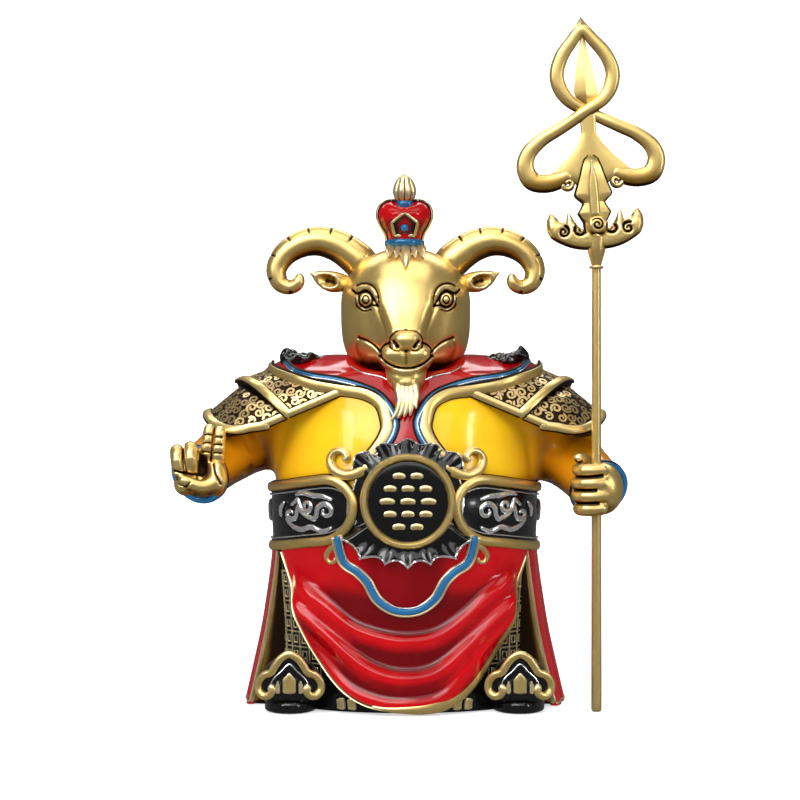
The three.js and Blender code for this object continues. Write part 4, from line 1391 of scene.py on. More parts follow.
def open_hand(step):
    """The raised right hand, built round its palm: two fingers up, two folded, the thumb across."""
    clay = Clay((-9, -9, -9), (9, 7, 15.5), step)
    clay.ball((0, 0.6, 0.9), (6.6, 4.6, 6.2), 1)
    clay.ball((0.3, 3, -0.2), (5.6, 4.2, 5.0), 2)
    clay.ball((4.4, -2.4, -0.6), (2.7, 3.1, 4.6), 1.0)
    clay.ball((-3.6, -2.2, -2.0), (3.0, 2.8, 3.0), 1.4)
    clay.ball((0.8, -5.2, 3.2), (1.9, 2.8, 3.2), 0.6, cut=True)
    clay.engrave([(0.9, 4.8), (0.8, 1.2)], 2.0, 0.4)
    upright = np.array((1.1, 1.1, 1.05, 1.0, 1.05, 1, 0.97, 1, 0.9))
    for foot, tip, top, thick in ((1.2, 2.4, 12.0, 1.6), (4.3, 5.0, 11.3, 1.75)):
        finger = [(foot, -0.6, 3), (mix(foot, tip, 0.5), -1.6, 0.55 * top), (tip, -1.4, top)]
        clay.limb(smooth_line(finger, 9), thick * upright, 0.3)
        for share in (0.36, 0.62, 0.85):
            x, z = mix(foot, tip, share), mix(3, top, share)
            clay.engrave([(x - 0.9, z), (x + 0.9, z - 0.1)], 0.24, 0.35, ink_and_shade=0.6)
    clay.engrave([(2.8, 4), (3.3, 8), (3.7, 12.6)], 0.3, 0.5)
    folded = np.interp(np.arange(12), (0, 4, 7, 11), (1.6, 1.85, 1.8, 1.5))
    for x, lift in ((-5.7, -0.4), (-2.3, 0.4)):
        finger = [
            (x, 0.6, 1.5), (x - 0.1, -0.4, 5.6 + lift), (x, -3.2, 6.8 + lift),
            (x + 0.3, -5.6, 4.8 + lift), (x + 0.5, -5.4, 2.0 + lift), (x + 0.7, -4.2, 0.8),
        ]
        clay.limb(smooth_line(finger, 12), folded, 0.3)
    clay.engrave([(-4.1, 7.6), (-4.0, 4.6), (-3.2, 1.6)], 0.3, 0.4, behind=-2)
    clay.engrave([(-6.8, 1.7), (-4.8, 1.2), (-2.2, 0.8), (0.6, 0.2)], 0.34, 0.5)
    thumb = [(4.6, -3.8, -1.4), (0.8, -5.4, -2.6), (-3.6, -6.2, -1.0)]
    clay.limb(smooth_line(thumb, 10), np.linspace(2.0, 1.35, 10), 1.4)
    clay.engrave([(3.6, 3.0), (4.2, 0.8), (5.6, -1.8)], 0.3, 0.5, ink_and_shade=0.8)
    clay.engrave([(-5.0, -2.0), (-3.2, -2.6), (-2.0, -1.4)], 0.24, 0.3, ink_and_shade=0.6)
    return clay.skin().moved(lambda points: points + PALM)


def fist(step):
    """The left hand, closed round the shaft, with the tip of the thumb above the top finger."""
    clay = Clay((-9, -8.2, -9.5), (9, 9, 10), step)
    clay.ball((1.9, 0.2, 0.2), (5.0, 5.6, 6.5), 1)
    clay.ball((-1.4, 0.4, 0.2), (4.6, 5.0, 6.4), 3)
    clay.ball((0.6, 4.6, 0), (5.6, 4.4, 5.8), 2)
    closed = np.interp(np.arange(18), (0, 4, 17), (1.3, 1.72, 1.72))
    for k, reach in enumerate((0.96, 1.04, 1.02, 0.9)):
        z = 4.95 - 3.3 * k
        finger = [
            (1.2, -4.4, z + 0.2), (-1.0, -4.6 * reach, z), (-3.6 * reach, -4.0, z),
            (-4.9 * reach, -1.0, z + 0.1), (-3.4, 1.6, z + 0.2),
        ]
        clay.limb(smooth_line(finger, 18), closed, 0.9)
    for reach, start, end in ((1.0, 3.35, 3.75), (-0.6, -0.05, 0.05), (0.0, -3.35, -3.2)):
        clay.engrave(smooth_line([(-6.6, start), (-3.2, start), (reach, end)], 12), 0.36, 0.7)
    thumb = [(-0.6, 4.5, 5.2), (-3.0, 2.0, 7.6), (-4.8, -1.6, 8.0)]
    clay.limb(smooth_line(thumb, 10), np.linspace(2.0, 1.35, 10), 0.5)
    clay.engrave([(-5.9, 7.7), (-4.9, 7.0), (-3.8, 7.3)], 0.3, 0.4, behind=1)
    clay.limb([(0.02, 0, -12), (-0.02, 0, 12)], 1.7, 0.05, cut=True)
    return clay.skin().moved(lambda points: points + FIST)


def cuffs():
    """Each sleeve ends in a black rim, a blue roll in front of it and a black lining."""
    blue, black = [], []
    for side in SIDES:
        end, way = sleeve_end(side)
        across = unit_rows(np.cross(way, UP))
        rise = np.cross(across, way)
        turn = full_turn(72)[:, None]
        ring = across * np.cos(turn) + rise * np.sin(turn)
        blue.append(sweep(end + 0.7 * way + 7.0 * ring, 0.95, 0.8, face=way, sides=14, closed=True))
        black.append(sweep(end - 0.6 * way + 7.5 * ring, 0.55, 0.7, face=way, sides=10, closed=True))
        mouth = [(0, 0.0), (4.6, 0.0), (6.2, 0.6), (6.4, 0.9), (6.9, -2.5), (0, -3.0)]
        cup = turned(mouth, (0, 0, 0), 48)
        black.append(Form(end + cup.points @ np.stack([across, rise, way]), *cup.faces))
    piece("cuffs", "blue enamel", blue)
    piece("cuff_linings", "black enamel", black)


# Belt and medallion

BELT = {"top": 57.0, "low": 41.5, "rise": 4.0, "start": 0.374, "bend": 0.26}


def belt_height(turn, row):
    """The belt's height at an angle from the front, for row 0 at its lower and 1 at its upper edge."""
    climb = BELT["rise"] * np.maximum(0, np.cos(turn)) ** 2
    high, low = BELT["top"] + climb, BELT["low"] + 0.9 * climb
    inset = 1 - np.clip((np.minimum(turn, 2 * np.pi - turn) - BELT["start"]) / BELT["bend"], 0, 1)
    return (high + low) / 2 + (row - 0.5) * (high - low) * np.sqrt(np.clip(1 - inset**2, 0.0004, 1))


def belt_turns():
    bend = BELT["start"] + BELT["bend"] * (1 - np.cos(np.linspace(0.03, QUARTER, 12)))
    middle = np.linspace(bend[-1], 2 * np.pi - bend[-1], 150)[1:-1]
    return np.concatenate([bend, middle, 2 * np.pi - bend[::-1]])


def belt():
    turns = belt_turns()
    rows = np.linspace(0, 1, 17)

    def place(u, v, top):
        dish = 0.5 + 0.7 * np.abs(2 * v - 1) ** 3
        return on_body(u, belt_height(u, v), dish if top else -2.5)

    piece("belt_plates", "black enamel", plate(turns, rows, place))
    outline = np.concatenate([
        on_body(turns, belt_height(turns, 1.0), 1.0),
        on_body(turns[::-1], belt_height(turns[::-1], 0.0), 1.0),
    ])
    outline = even_ring(outline, 420)
    border = sweep(outline, 1.3, 1.1, face=outward(outline), sides=12, closed=True, power=2.6)
    inner = np.concatenate([
        on_body(turns[4:-4], belt_height(turns[4:-4], 0.87), 1.25),
        on_body(turns[-5:3:-1], belt_height(turns[-5:3:-1], 0.13), 1.25),
    ])
    inner = even_ring(inner, 400)
    piece("belt_borders", "gold", border)
    piece("belt_seams", "dark gold", seam(outline, 1.15, outward(outline), closed=True))
    threads = [sweep(inner, 0.17, 0.2, face=outward(inner), sides=6, closed=True)]
    for side in SIDES:
        threads.append(cloud_scrolls(side))
    for turn in (1.75, 2.45, np.pi, 2 * np.pi - 2.45, 2 * np.pi - 1.75):
        threads.append(back_scroll(turn))
    piece("belt_scrolls", "silver", threads)


def scroll_line(seen, side):
    """A raised cloud line on the belt from points by x and z, fuller in its middle."""
    line = on_front([(MIDDLE + side * x, z) for x, z in seen], 1.0)

    def wide(t):
        return 0.28 + 0.45 * np.sin(np.pi * np.clip(t, 0, 1)) ** 0.6

    return sweep(line, wide, lambda t: 0.75 * wide(t), face=outward(line), sides=10)


def cloud_scrolls(side):
    """Cloud scrolls on one front plate: two facing curls over a long waved tail."""
    def tailed(centre, radius, turns, start, hand, tail, count):
        curl = spiral(centre, radius, turns, start=start, hand=hand)
        return np.vstack([curl[::-1], smooth_line(tail, count)])

    lines = [
        tailed((20.6, 51.6), 2.5, 1.25, -0.6, 1, [(23.6, 49.6), (25.9, 50.4), (28.2, 52.4)], 10),
        tailed((25.6, 52.9), 1.9, 1.2, 0.4, -1, [(28.0, 54.4), (30.0, 52.6)], 8),
        tailed((29.8, 50.6), 1.8, 1.1, 2.5, 1, [(27.8, 52.6), (26.5, 51.2)], 7),
        smooth_line([(19.0, 47.6), (21.5, 46.5), (24.5, 47.5), (27.0, 46.7), (29.5, 47.6), (31.5, 49.6)], 34),
        smooth_line([(18.8, 54.6), (21.4, 55.4), (24.0, 55.6), (26.6, 56.1), (29.0, 55.4)], 26),
        smooth_line([(31.6, 53.6), (32.6, 51.8), (32.4, 49.2)], 12),
    ]
    return [scroll_line(smooth_line(line[::2], 60), side) for line in lines]


def back_scroll(turn):
    """A pair of plain scrolls on the belt at an angle, for the sides and the back."""
    def wide(t):
        return 0.2 + 0.4 * np.sin(np.pi * t) ** 0.6

    parts = []
    for hand in SIDES:
        curl = spiral((2.6, 49.5), 2.3, 1.2, start=2.6, hand=-1)
        tail = smooth_line([(0.3, 50.4), (2.6, 53.2), (5.4, 51.8), (6.2, 48.6)], 12)
        for seen in (curl, tail):
            line = on_body(turn + hand * seen[:, 0] / ROUND, seen[:, 1], 1.0)
            parts.append(sweep(line, wide, face=outward(line), sides=8))
    return parts


def medallion_front():
    return on_front([(MEDALLION["x"], MEDALLION["z"])])[0, 1] - 2.4


def medallion():
    x, z, radius, rim = (MEDALLION[key] for key in ("x", "z", "radius", "rim"))
    front = medallion_front()
    middle = radius - rim / 2
    profile = [
        (0, -4), (radius - 0.1, -4), (radius, -0.8), (radius - 0.15, 0.2), (middle + 0.35, 0.8),
        (middle - 0.25, 0.8), (radius - rim + 0.1, 0.2), (radius - rim, -0.8), (0, -0.8),
    ]
    piece("medallion_ring", "gold", turned(profile, (x, front, z), 96, axis="Y"))
    disc = [(0, -1.6), (radius - rim - 0.1, -1.6), (radius - rim - 0.1, -0.35)]
    dome = [(r, -0.25 + 0.25 * (1 - (r / 10.3) ** 2)) for r in (9.6, 8, 6, 4, 2, 0)]
    piece("medallion_disc", "black enamel", turned(disc + dome, (x, front, z), 72, axis="Y"))
    strokes = []
    for height, count, half, pitch in (
        (6.4, 2, 1.7, 4.5), (3.2, 3, 1.7, 4.5), (0.0, 3, 2.0, 5.2), (-3.2, 3, 1.7, 4.5), (-6.4, 2, 1.7, 4.5),
    ):
        for k in range(count):
            at = np.array([x + (k - (count - 1) / 2) * pitch, front + 0.05, z + height])
            line = smooth_line([at + (-half, 0, -0.12), at + (0, 0, 0.12), at + (half, 0, -0.12)], 14)
            strokes.append(sweep(line, lambda t: 0.6 + 0.25 * np.sin(np.pi * t), 0.55, sides=10, power=3))
    piece("medallion_strokes", "gold", strokes)


FRINGE_ROOT = 10.5  # the radius at which the frill comes out from under the medallion


def fringe():
    """A pleated frill round the medallion, in soft lobes above and pointed folds below."""
    x, z = MEDALLION["x"], MEDALLION["z"]
    turns = full_turn(360)

    def edge(turn):
        lobes = 0.6 * np.cos(15 * (turn - QUARTER)) * smoothstep(np.sin(turn), -0.3, 0.1)
        points = 1.8 * (1 - np.abs(np.sin(9 * (turn - QUARTER))) ** 0.6) * smoothstep(-np.sin(turn), 0.1, 0.5)
        aside = np.abs(np.cos(turn))
        spread = (1.9 + 0.9 * (np.sin(turn) < 0)) * smoothstep(aside, 0.3, 0.8)
        return mix(15.3 + lobes + points + spread, 14.2, smoothstep(aside, 0.88, 0.93))

    def proud(turn, share):
        above = smoothstep(np.sin(turn), -0.35, 0.1)
        fold = mix(np.cos(18 * (turn - QUARTER)), np.cos(15 * (turn - QUARTER)), above)
        fold = (0.6 * fold + 0.25 * np.cos(45 * turn) * above) * smoothstep(share, 0.1, 0.85)
        under_belt = smoothstep(np.abs(np.cos(turn)), 0.83, 0.9)
        return mix(1.9 + fold + 1.6 * (1 - above) * smoothstep(share, 0.1, 0.8), 0.95, under_belt)

    def place(u, v, top):
        reach = mix(FRINGE_ROOT, edge(u), np.sin(v * QUARTER))
        seen = np.stack([(x + reach * np.cos(u)).ravel(), (z + reach * np.sin(u)).ravel()], axis=-1)
        return on_front(seen, proud(u, v).ravel() if top else 0.0).reshape(*u.shape, 3)

    rows = np.linspace(0, 1, 16)
    u, v = np.meshgrid(turns, rows, indexing="ij")
    top, under = (place(u, v, side).reshape(-1, 3) for side in (1, 0))
    count = len(top)
    faces = quads(len(turns), len(rows), wrap_rows=True)
    ring = np.arange(len(turns)) * len(rows)
    walls = []
    for rim, flip in ((ring, 1), (ring + len(rows) - 1, -1)):
        wall = np.stack([rim, np.roll(rim, -1), np.roll(rim, -1) + count, rim + count], axis=-1)
        walls.append(wall[:, ::-flip])
    frill = Form(np.vstack([top, under]), np.vstack([faces, faces[:, ::-1] + count, *walls]))
    piece("fringe", "black enamel", frill)
    reach = mix(FRINGE_ROOT, edge(turns), 0.975)
    seen = np.stack([x + reach * np.cos(turns), z + reach * np.sin(turns)], axis=-1)
    line = on_front(seen, 0.1 + proud(turns, np.full_like(turns, 0.97)))
    size = 0.28 - 0.1 * smoothstep(np.sin(turns), -0.3, 0.2)

    def wide(t):
        return np.interp(t * len(size), np.arange(len(size)), size)

    piece("fringe_edge", "silver", sweep(line, wide, 0.2, face=outward(line), sides=6, closed=True))


def hooks():
    """Scroll hooks beside the fringe, a pair above the belt and a smaller pair below it."""
    upper = [
        (9.9, 63.2), (13.5, 61.3), (16.6, 60.9), (19.2, 62.2), (20.2, 64.6),
        (19.0, 66.7), (16.9, 66.9), (15.8, 65.4), (16.8, 64.3),
    ]
    lower = [(15.4, 43.4), (17.8, 43.2), (19.9, 42.0), (20.9, 40.2), (20.0, 38.6), (18.6, 38.9), (18.7, 40.0)]
    gold, dark = [], []
    for side in SIDES:
        for seen, thick in ((upper, 1.5), (lower, 1.1)):
            line = front_line(mirrored(seen, side, 0.5), 60, 1.2)
            out = outward(line)

            def wide(t):
                return thick * mix(1, 0.45, t)

            gold.append(sweep(line, wide, 0.8, face=out, sides=14, power=2.3))
            dark.append(sweep(line - 0.5 * out, lambda t: 0.25 + wide(t), 0.5, face=out, sides=8, power=4))
    piece("hooks", "gold", gold)
    piece("hook_seams", "dark gold", dark)


# Skirts

DRAPE = {"reach": 1.13, "flare": 3.2, "ground": 0.6}
# Crests of the hanging folds by x and z, each with its height.
SWAGS = (
    ([(-30, 36), (-20, 27.5), (-13.5, 22.3), (-8.5, 20.2), (0, 18.7), (8, 19.9), (15, 24.5), (21, 30),
      (30, 37)], 1.9),
    ([(-30, 31.5), (-20, 21), (-8.5, 11.6), (-1, 9.5), (7, 10.6), (15.3, 17.2), (21.1, 23), (30, 32)], 2.5),
    ([(-30, 25), (-22, 15.5), (-14, 6.5), (-7, 3.6), (-1, 2.9), (9, 4.4), (15, 10.5), (21, 17.5),
      (30, 28)], 1.3),
)
APRON = [(17.6, 45.5), (15.6, 38.8), (12.3, 36.5), (9.8, 34), (7.3, 29.7), (3.7, 27.1), (0, 26.4)]


def hem(share):
    return mix(DRAPE["ground"], SKIRT_TOP - 1, np.abs(share) ** 2.8)


def drape_flare(z):
    return DRAPE["flare"] * (1 - z / 44) ** 2 + 1.4


def swags(x, z):
    """Depth of the folds: long curves that hang from the hips, sharp above and soft below."""
    depth = 0.0
    for seen, high in SWAGS:
        crest = smooth_line(seen, 60)
        height = np.interp(x, *crest.T)
        slope = np.interp(x, crest[:, 0], np.gradient(crest[:, 1], crest[:, 0]))
        gap = (z - height) / np.sqrt(1 + slope**2)
        depth = depth + high * bell(gap / np.where(gap > 0, 1.5, 3.6))
    depth = depth + 1.2 * bell((x + 24) / 4.5) * bell((z - 25) / 9)
    depth = depth + 0.8 * bell((x - 25) / 3.5) * bell((z - 27) / 8)
    return depth * smoothstep(29.5 - np.abs(x), 0, 4) * smoothstep(40 - z, 0, 6)


def drape_place(across, share, proud=None):
    """A point of the drape, folded, or smooth where proud says how far it stands off the body."""
    angle = across * DRAPE["reach"]
    top = BELT["low"] + 0.9 * BELT["rise"] * np.cos(angle) ** 2 + 0.4
    z = mix(hem(np.sin(angle) / math.sin(DRAPE["reach"])), top, share)
    if proud is None:
        plain = drape_flare(z)
        proud = plain + swags(on_body(angle, z, plain)[..., 0], z)
    return on_body(angle, z, proud)


def drape():
    across = np.linspace(-1, 1, 165)
    share = np.concatenate([[0, 0.008, 0.02], np.linspace(0.035, 1, 108)])

    def place(u, v, top):
        rolled = 1 - 1.3 * (1 - np.clip(v / 0.03, 0, 1)) ** 2
        out = drape_place(u, v)
        inner = drape_place(u, v, -3.0)
        return mix(inner, out, 0.75 + 0.25 * rolled[..., None]) if top else inner

    cloth = plate(across, share, place)
    # Painted shade: the ink darkens the red in the hollows between the folds.
    x, z = cloth.points[:, 0], cloth.points[:, 2]
    sunk = 1 - smoothstep(swags(x, z), 0.2, 1.3)
    cloth.ink_and_shade = 0.27 * sunk * smoothstep(36 - z, 0, 10) * smoothstep(28 - np.abs(x), 0, 6)
    piece("drape", "red enamel", cloth)
    lines = []
    for low, high, least, most, inset in ((-1.0, -0.12, 0.25, 0.3, 0.012), (-0.2, 0.985, 0.5, 2.5, 0.02)):
        u = np.linspace(low, high, 90)
        line = drape_place(u, np.full_like(u, inset)) + (0, 0.3, 0)
        line[:, 0] -= 0.5 * (most - least) * bell((u - 0.5) / 0.35)
        line[:, 2] = np.maximum(line[:, 2], 0.5)

        def wide(t):
            return mix(least, most, np.sin(np.pi * np.clip(t, 0, 1)) ** 1.5)

        lines.append(sweep(line, wide, 0.6, face=outward(line), sides=12, power=2.4))
    piece("drape_lining", "gold", lines)


def apron_line(shift, proud, count=170):
    """The wavy hem of the cloth under the medallion, moved outwards by shift."""
    line = smooth_line(both_sides(APRON), count)
    along = unit_rows(np.gradient(line, axis=0))
    line = line + shift * np.stack([along[:, 1], -along[:, 0]], axis=-1) + (0.3, 0)
    return on_front(line, drape_flare(line[:, 1]) + proud)


def apron():
    wide = np.linspace(-1, 1, 61)
    edge = apron_line(0.0, 0.0, 61)

    def place(u, v, top):
        foot = np.interp(u, wide, edge[:, 2])
        x = np.interp(u, wide, edge[:, 0]) * mix(1, 1.06, v)
        z = mix(foot, 45.5, v)
        seen = np.stack([x.ravel(), z.ravel()], axis=-1)
        proud = drape_flare(z) + mix(1.3, 0.3, v) + 0.25 * np.cos(7 * u) * (1 - v)
        return on_front(seen, (proud if top else proud - 3).ravel()).reshape(*u.shape, 3)

    cloth = plate(wide, np.linspace(0, 1, 30), place)
    # The red is darker towards the middle.
    cloth.ink_and_shade = 0.17 * smoothstep(15 - np.abs(cloth.points[:, 0]), 0, 8)
    piece("apron", "red enamel", cloth)
    for name, finish, shift, proud, wide_by, thick in (
        ("apron_ribbon", "blue enamel", 0.0, 1.45, 0.9, 0.75),
        ("apron_band", "gold", 1.2, 1.2, 0.34, 0.6),
        # Painted highlight: a thin silver line along the blue ribbon.
        ("apron_thread", "silver", -0.85, 1.95, 0.17, 0.18),
        ("apron_seam", "dark gold", 0.0, 1.1, 1.3, 0.6),
    ):
        line = apron_line(shift, proud)
        piece(name, finish, sweep(line, wide_by, thick, face=outward(line), sides=12, power=2.4))


def robe_opening(z, side):
    """The angle of the robe's front edge, which stands further back on the figure's right."""
    up = np.clip(z / SKIRT_TOP, 0, 1)
    return mix(1.24, 1.15, up) if side > 0 else mix(1.34, 1.26, up)


def robe_flare(angle, z):
    down = 1 - np.clip(z / SKIRT_TOP, 0, 1)
    return 1.2 + 9 * down**1.15 * mix(0.62, 1, np.abs(np.sin(angle)))


def robe_place(u, v, inset=0.0):
    """u runs round the back from one front edge to the other, and v up from the ground."""
    z = v * (SKIRT_TOP + 1.5)
    turn = mix(robe_opening(z, 1), 2 * np.pi - robe_opening(z, -1), u)
    down = np.clip(1 - z / SKIRT_TOP, 0, 1)
    pleats = 0.75 * np.cos(2 * np.pi * 9 * u) + 0.3 * np.cos(2 * np.pi * 23 * u + 1.3)
    settle = smoothstep(np.minimum(u, 1 - u), 0, 0.08)
    return on_body(turn, np.maximum(z, 0.02), robe_flare(turn, z) + pleats * down**0.8 * settle - inset)


def robe():
    us, vs = np.linspace(0, 1, 221), np.linspace(0, 1, 26)
    piece("robe", "red enamel", plate(us, vs, lambda u, v, top: robe_place(u, v, 0.0 if top else 1.3)))
    inner = plate(us, vs, lambda u, v, top: robe_place(mix(0.004, 0.996, u), v, 1.2 if top else 1.9))
    piece("robe_lining", "dark gold", inner.stained(0.3))
    piece("robe_facings", "gold", [robe_facing(side) for side in SIDES])
    edges = []
    for u in (0.0, 1.0):
        v = np.linspace(0.015, 0.97, 60)
        line = robe_place(np.full_like(v, u), v, 0.6)
        edges.append(sweep(line, 0.32, 0.7, face=outward(line), sides=12, power=2.4))
    hem_line = robe_place(np.linspace(0.002, 0.998, 260), np.full(260, 0.014), 0.3)
    edges.append(sweep(hem_line, 0.4, 0.5, face=outward(hem_line), sides=8))
    piece("robe_edges", "dark gold", edges)


def robe_facing(side):
    """The gilt inside of the robe that shows between its front edge and the trousers."""
    us, vs = np.linspace(0, 1, 12), np.linspace(0.01, 0.97, 50)

    def place(u, v, top):
        share = u if side > 0 else 1 - u
        z = v * (SKIRT_TOP + 1.5)
        sunk = 0.0 if top else 0.8
        edge = robe_place(np.full_like(v, 0.0 if side > 0 else 1.0), v, 0.8 + sunk)
        inner = on_body(side * (robe_opening(z, side) - 0.05), np.maximum(z, 0.02), 0.6 - sunk)
        return mix(inner, edge, share[..., None])

    form = plate(us, vs, place)
    # Painted shade: darkest deep in the gap by the trousers, lighter out at the robe's edge.
    reach = np.hypot(form.points[:, 0], form.points[:, 1])
    z = form.points[:, 2]
    inside, outside = (
        np.linalg.norm(on_body(side * robe_opening(z, side), z, proud)[:, :2], axis=1)
        for proud in (0.6, robe_flare(1.3, z) - 0.8)
    )
    form.ink_and_shade = mix(0.95, 0.32, np.clip((reach - inside) / np.maximum(outside - inside, 0.3), 0, 1))
    return form


def legs(sizes):
    """The dark trousers seen between the skirts, with a net of raised squares."""
    angles, heights = np.linspace(-1.5, 1.5, 61), np.linspace(0.0, 1, 24)
    ground = plate(angles, heights, lambda u, v, top: on_body(u, 0.02 + v * 42, 0.4 if top else -3))
    piece("trousers", "black enamel", ground)
    lattice = lattice_tree()
    pitch = sizes.lattice_pitch / UNIT
    rows, columns = int(30 / pitch), int(20 / pitch)
    levels = 8 + pitch * np.arange(rows + 1)
    for side in SIDES:
        across = side * np.linspace(0.72, 0.72 + columns * pitch / ROUND, columns + 1)
        net = open_net("net", across, levels, lambda u, v: on_body(u, v, 0.5))
        made_by(lattice, f"lattice_{'right' if side < 0 else 'left'}", net, "gold", {
            "Wire": 0.22 * UNIT, "Inner Share": 0.45,
        })


def ground_plates():
    """Small flat gold plates on the black band between the boots and the drape."""
    gold = []
    for side in SIDES:
        for x in (13.4, 16.2):
            line = on_front([(side * x, 0.9), (side * x, 2.4), (side * (x + 0.3), 3.9)], 3.0)
            gold.append(sweep(smooth_line(line, 8), 1.15, 0.4, face=outward(line[:1])[0], sides=12, power=8))
    piece("ground_plates", "gold", gold)


def plinth():
    """The flat black underside, which closes the skirts to the inside of the robe all round."""
    def spread(points):
        angle = np.arctan2(points[:, 0], -points[:, 1])
        behind = smoothstep(np.abs(angle), 1.2, 1.4)
        z = points[:, 2]
        edge = on_body(angle, z, mix(0.4, robe_flare(angle, z) - 1.7, behind))
        return np.where(np.hypot(points[:, :1], points[:, 1:2]) > 0.5, edge, points)

    disc = turned([(0, 0.02), (1, 0.02), (1, 3.2), (0, 3.2)], (0, 0, 0), 120)
    piece("plinth", "black enamel", disc.moved(spread))


# Boots

# Half of the toe plate's cloud edge, of the ground behind it and of the thread on it, by x and z.
TOE_CLOUD = [
    (5.4, -2.3), (4.4, -2.9), (4.8, -4.3), (6.4, -4.9), (7.9, -3.6), (7.9, -1.3),
    (6.6, 0.4), (4.7, 1.3), (3.6, 3.0), (2.1, 4.9), (0, 5.9),
]
TOE_GROUND = [(6.86, -5.2), (7.448, -1.5), (4.312, 1.6), (0, 5.4)]
TOE_THREAD = [(5.2, -3.2), (4.2, -0.6), (2.0, 1.6), (0, 3.4)]


def boot_clay(side, step):
    x, front = side * BOOT["x"], BOOT["front"]
    clay = Clay((x - 9.5, front - 1.5, -1.5), (x + 9.5, front + 24, 17.5), step)
    clay.ball((x, front + 11.5, 6), (7.4, 10.2, 8), 1)
    clay.ball((x, front + 6.4, 7.4), (7.2, 6.0, 7.2), 2)
    part, (gx, gy, gz) = clay.all()
    sole = np.hypot((gx - x) / 6.8, (gy - front - 10.2) / 10.4)
    clay.merge(part, soft_max((sole - 1) * 7, np.abs(gz - 1.4) - 1.6, 0.8), 0.5)
    clay.field[part] = np.maximum(clay.field[part], 0.0 - gz)
    turn = np.linspace(-0.4, 3.5, 24)
    welt = spots(x + 7.4 * np.cos(turn), front + 10.2 - 10.6 * np.sin(turn), 3.3)
    clay.groove(welt, 0.4, 0.5)
    return clay


def boots():
    black, gold, silver = [], [], []
    for side in SIDES:
        x, front, z = side * BOOT["x"], BOOT["front"], BOOT["z"]
        black.append(boot_clay(side, 0.5).skin())

        def seen_line(half, y, count):
            line = smooth_line(both_sides(half), count)
            return spots(x + line[:, 0], y + 0.03 * line[:, 0] ** 2, z + line[:, 1])

        gold.append(sweep(seen_line(TOE_CLOUD, front + 0.2, 150), 1.0, 0.8, sides=12, power=2.4))
        shape = seen_line(TOE_GROUND, front + 0.6, 41)
        bottom = shape * (1, 1, 0) + (0, 0, 3.4)
        us, vs = np.linspace(0, 1, 41), np.linspace(0, 1, 14)

        def face(u, v, top):
            lower, upper = (
                np.stack([np.interp(u, us, axis) for axis in line.T], axis=-1) for line in (bottom, shape)
            )
            place = mix(lower, upper, v[..., None])
            return place if top else place + (0, 6.0, 0)

        black.append(plate(us, vs, face))
        silver.append(sweep(seen_line(TOE_THREAD, front + 0.3, 50), 0.2, 0.25, sides=8))
        for dx, wide, low, high in ((0, 1.7, -4.2, 1.2), (-2.95, 0.55, -4.2, -0.9), (2.95, 0.55, -4.2, -0.9)):
            line = spots([x + dx] * 3, [front + 0.35] * 3, [z + low, z + mix(low, high, 0.5), z + high])

            def taper(t):
                return wide * (1 - 0.75 * smoothstep(t, 0.62, 1.0))

            gold.append(sweep(smooth_line(line, 20), taper, 0.5, sides=12, power=5))
    piece("boots", "black enamel", black)
    piece("boot_clouds", "gold", gold)
    piece("boot_threads", "silver", silver)


# Polearm, in units of the polearm's own height

POLE_HEIGHT = 178.5
POLE_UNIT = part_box("polearm")[1][2] / POLE_HEIGHT / UNIT
HEAD_LEAN = math.radians(4.0)
HEAD_LENGTH = 58.3
HEAD_FOOT = POLE_HEIGHT * POLE_UNIT - HEAD_LENGTH * POLE_UNIT * math.cos(HEAD_LEAN)
CROSSING = 34.2  # where the ornament's ribbon crosses over itself
# Heights with half widths there: the ribbon's web above the blade, and the notched blade.
WEB = (
    (15.4, 16.4, 17.2, 18.5, 20.5, 23.0, 25.5, 28.3, 33),
    (4.2, 5.4, 9.0, 10.2, 8.0, 5.4, 3.4, 1.9, 2.0),
)
NOTCHES = (
    (1.6, 5.4, 7.8, 9.7, 10.4, 12.0, 12.7, 16.4, 19.8, 21.6, 22.6),
    (2.4, 2.6, 3.9, 2.7, 2.5, 4.2, 4.5, 3.2, 2.2, 1.5, 0.4),
)


def on_head(points):
    """Places points of the polearm's head: x across, y behind and z up from its foot."""
    x, y, z = (np.asarray(points, dtype=float) * POLE_UNIT).T
    c, s = math.cos(HEAD_LEAN), math.sin(HEAD_LEAN)
    return np.stack([FIST[0] + x * c - z * s, FIST[1] + y, HEAD_FOOT + x * s + z * c], axis=-1)


def blade(outline, ridge):
    """A blade ground to a ridge along its middle, from half of its outline by x and z."""
    edge = np.asarray(outline, dtype=float)
    count = len(edge)
    right = spots(edge[:, 0], 0.0, edge[:, 1])
    left = right * (-1, 1, 1)
    near = spots(0.0, -ridge * np.interp(edge[:, 0], (0, edge[:, 0].max()), (0.25, 1)), edge[:, 1])
    far = near * (1, -1, 1)
    points = np.vstack([right, near, left, far])
    faces = []
    for k in range(count - 1):
        for a, b in ((0, 1), (1, 2), (2, 3), (3, 0)):
            faces.append([a * count + k, b * count + k, b * count + k + 1, a * count + k + 1])
    ends = [[0, 3 * count, 2 * count, count], [count - 1, 2 * count - 1, 3 * count - 1, 4 * count - 1]]
    return Form(points, faces + ends).moved(on_head)


def ribbon_path():
    """The middle line of the ornament: from one hanging lobe over the crossing and round the loop."""
    lobe = [
        (5.2, 18.6), (7.4, 17.2), (11.5, 16.1), (15.3, 17.0), (16.9, 20.5),
        (15.9, 24.0), (12.5, 27.2), (7.9, 29.7), (3.8, 31.9),
    ]
    loop = [(-4.3, 36.9), (-6.5, 40.0), (-7.2, 43.8), (-5.7, 48.3), (-3.1, 51.8), (0.0, 54.9)]
    line = [*lobe, (0.0, CROSSING), *loop]
    return line + [(-x, z) for x, z in line[-2::-1]]


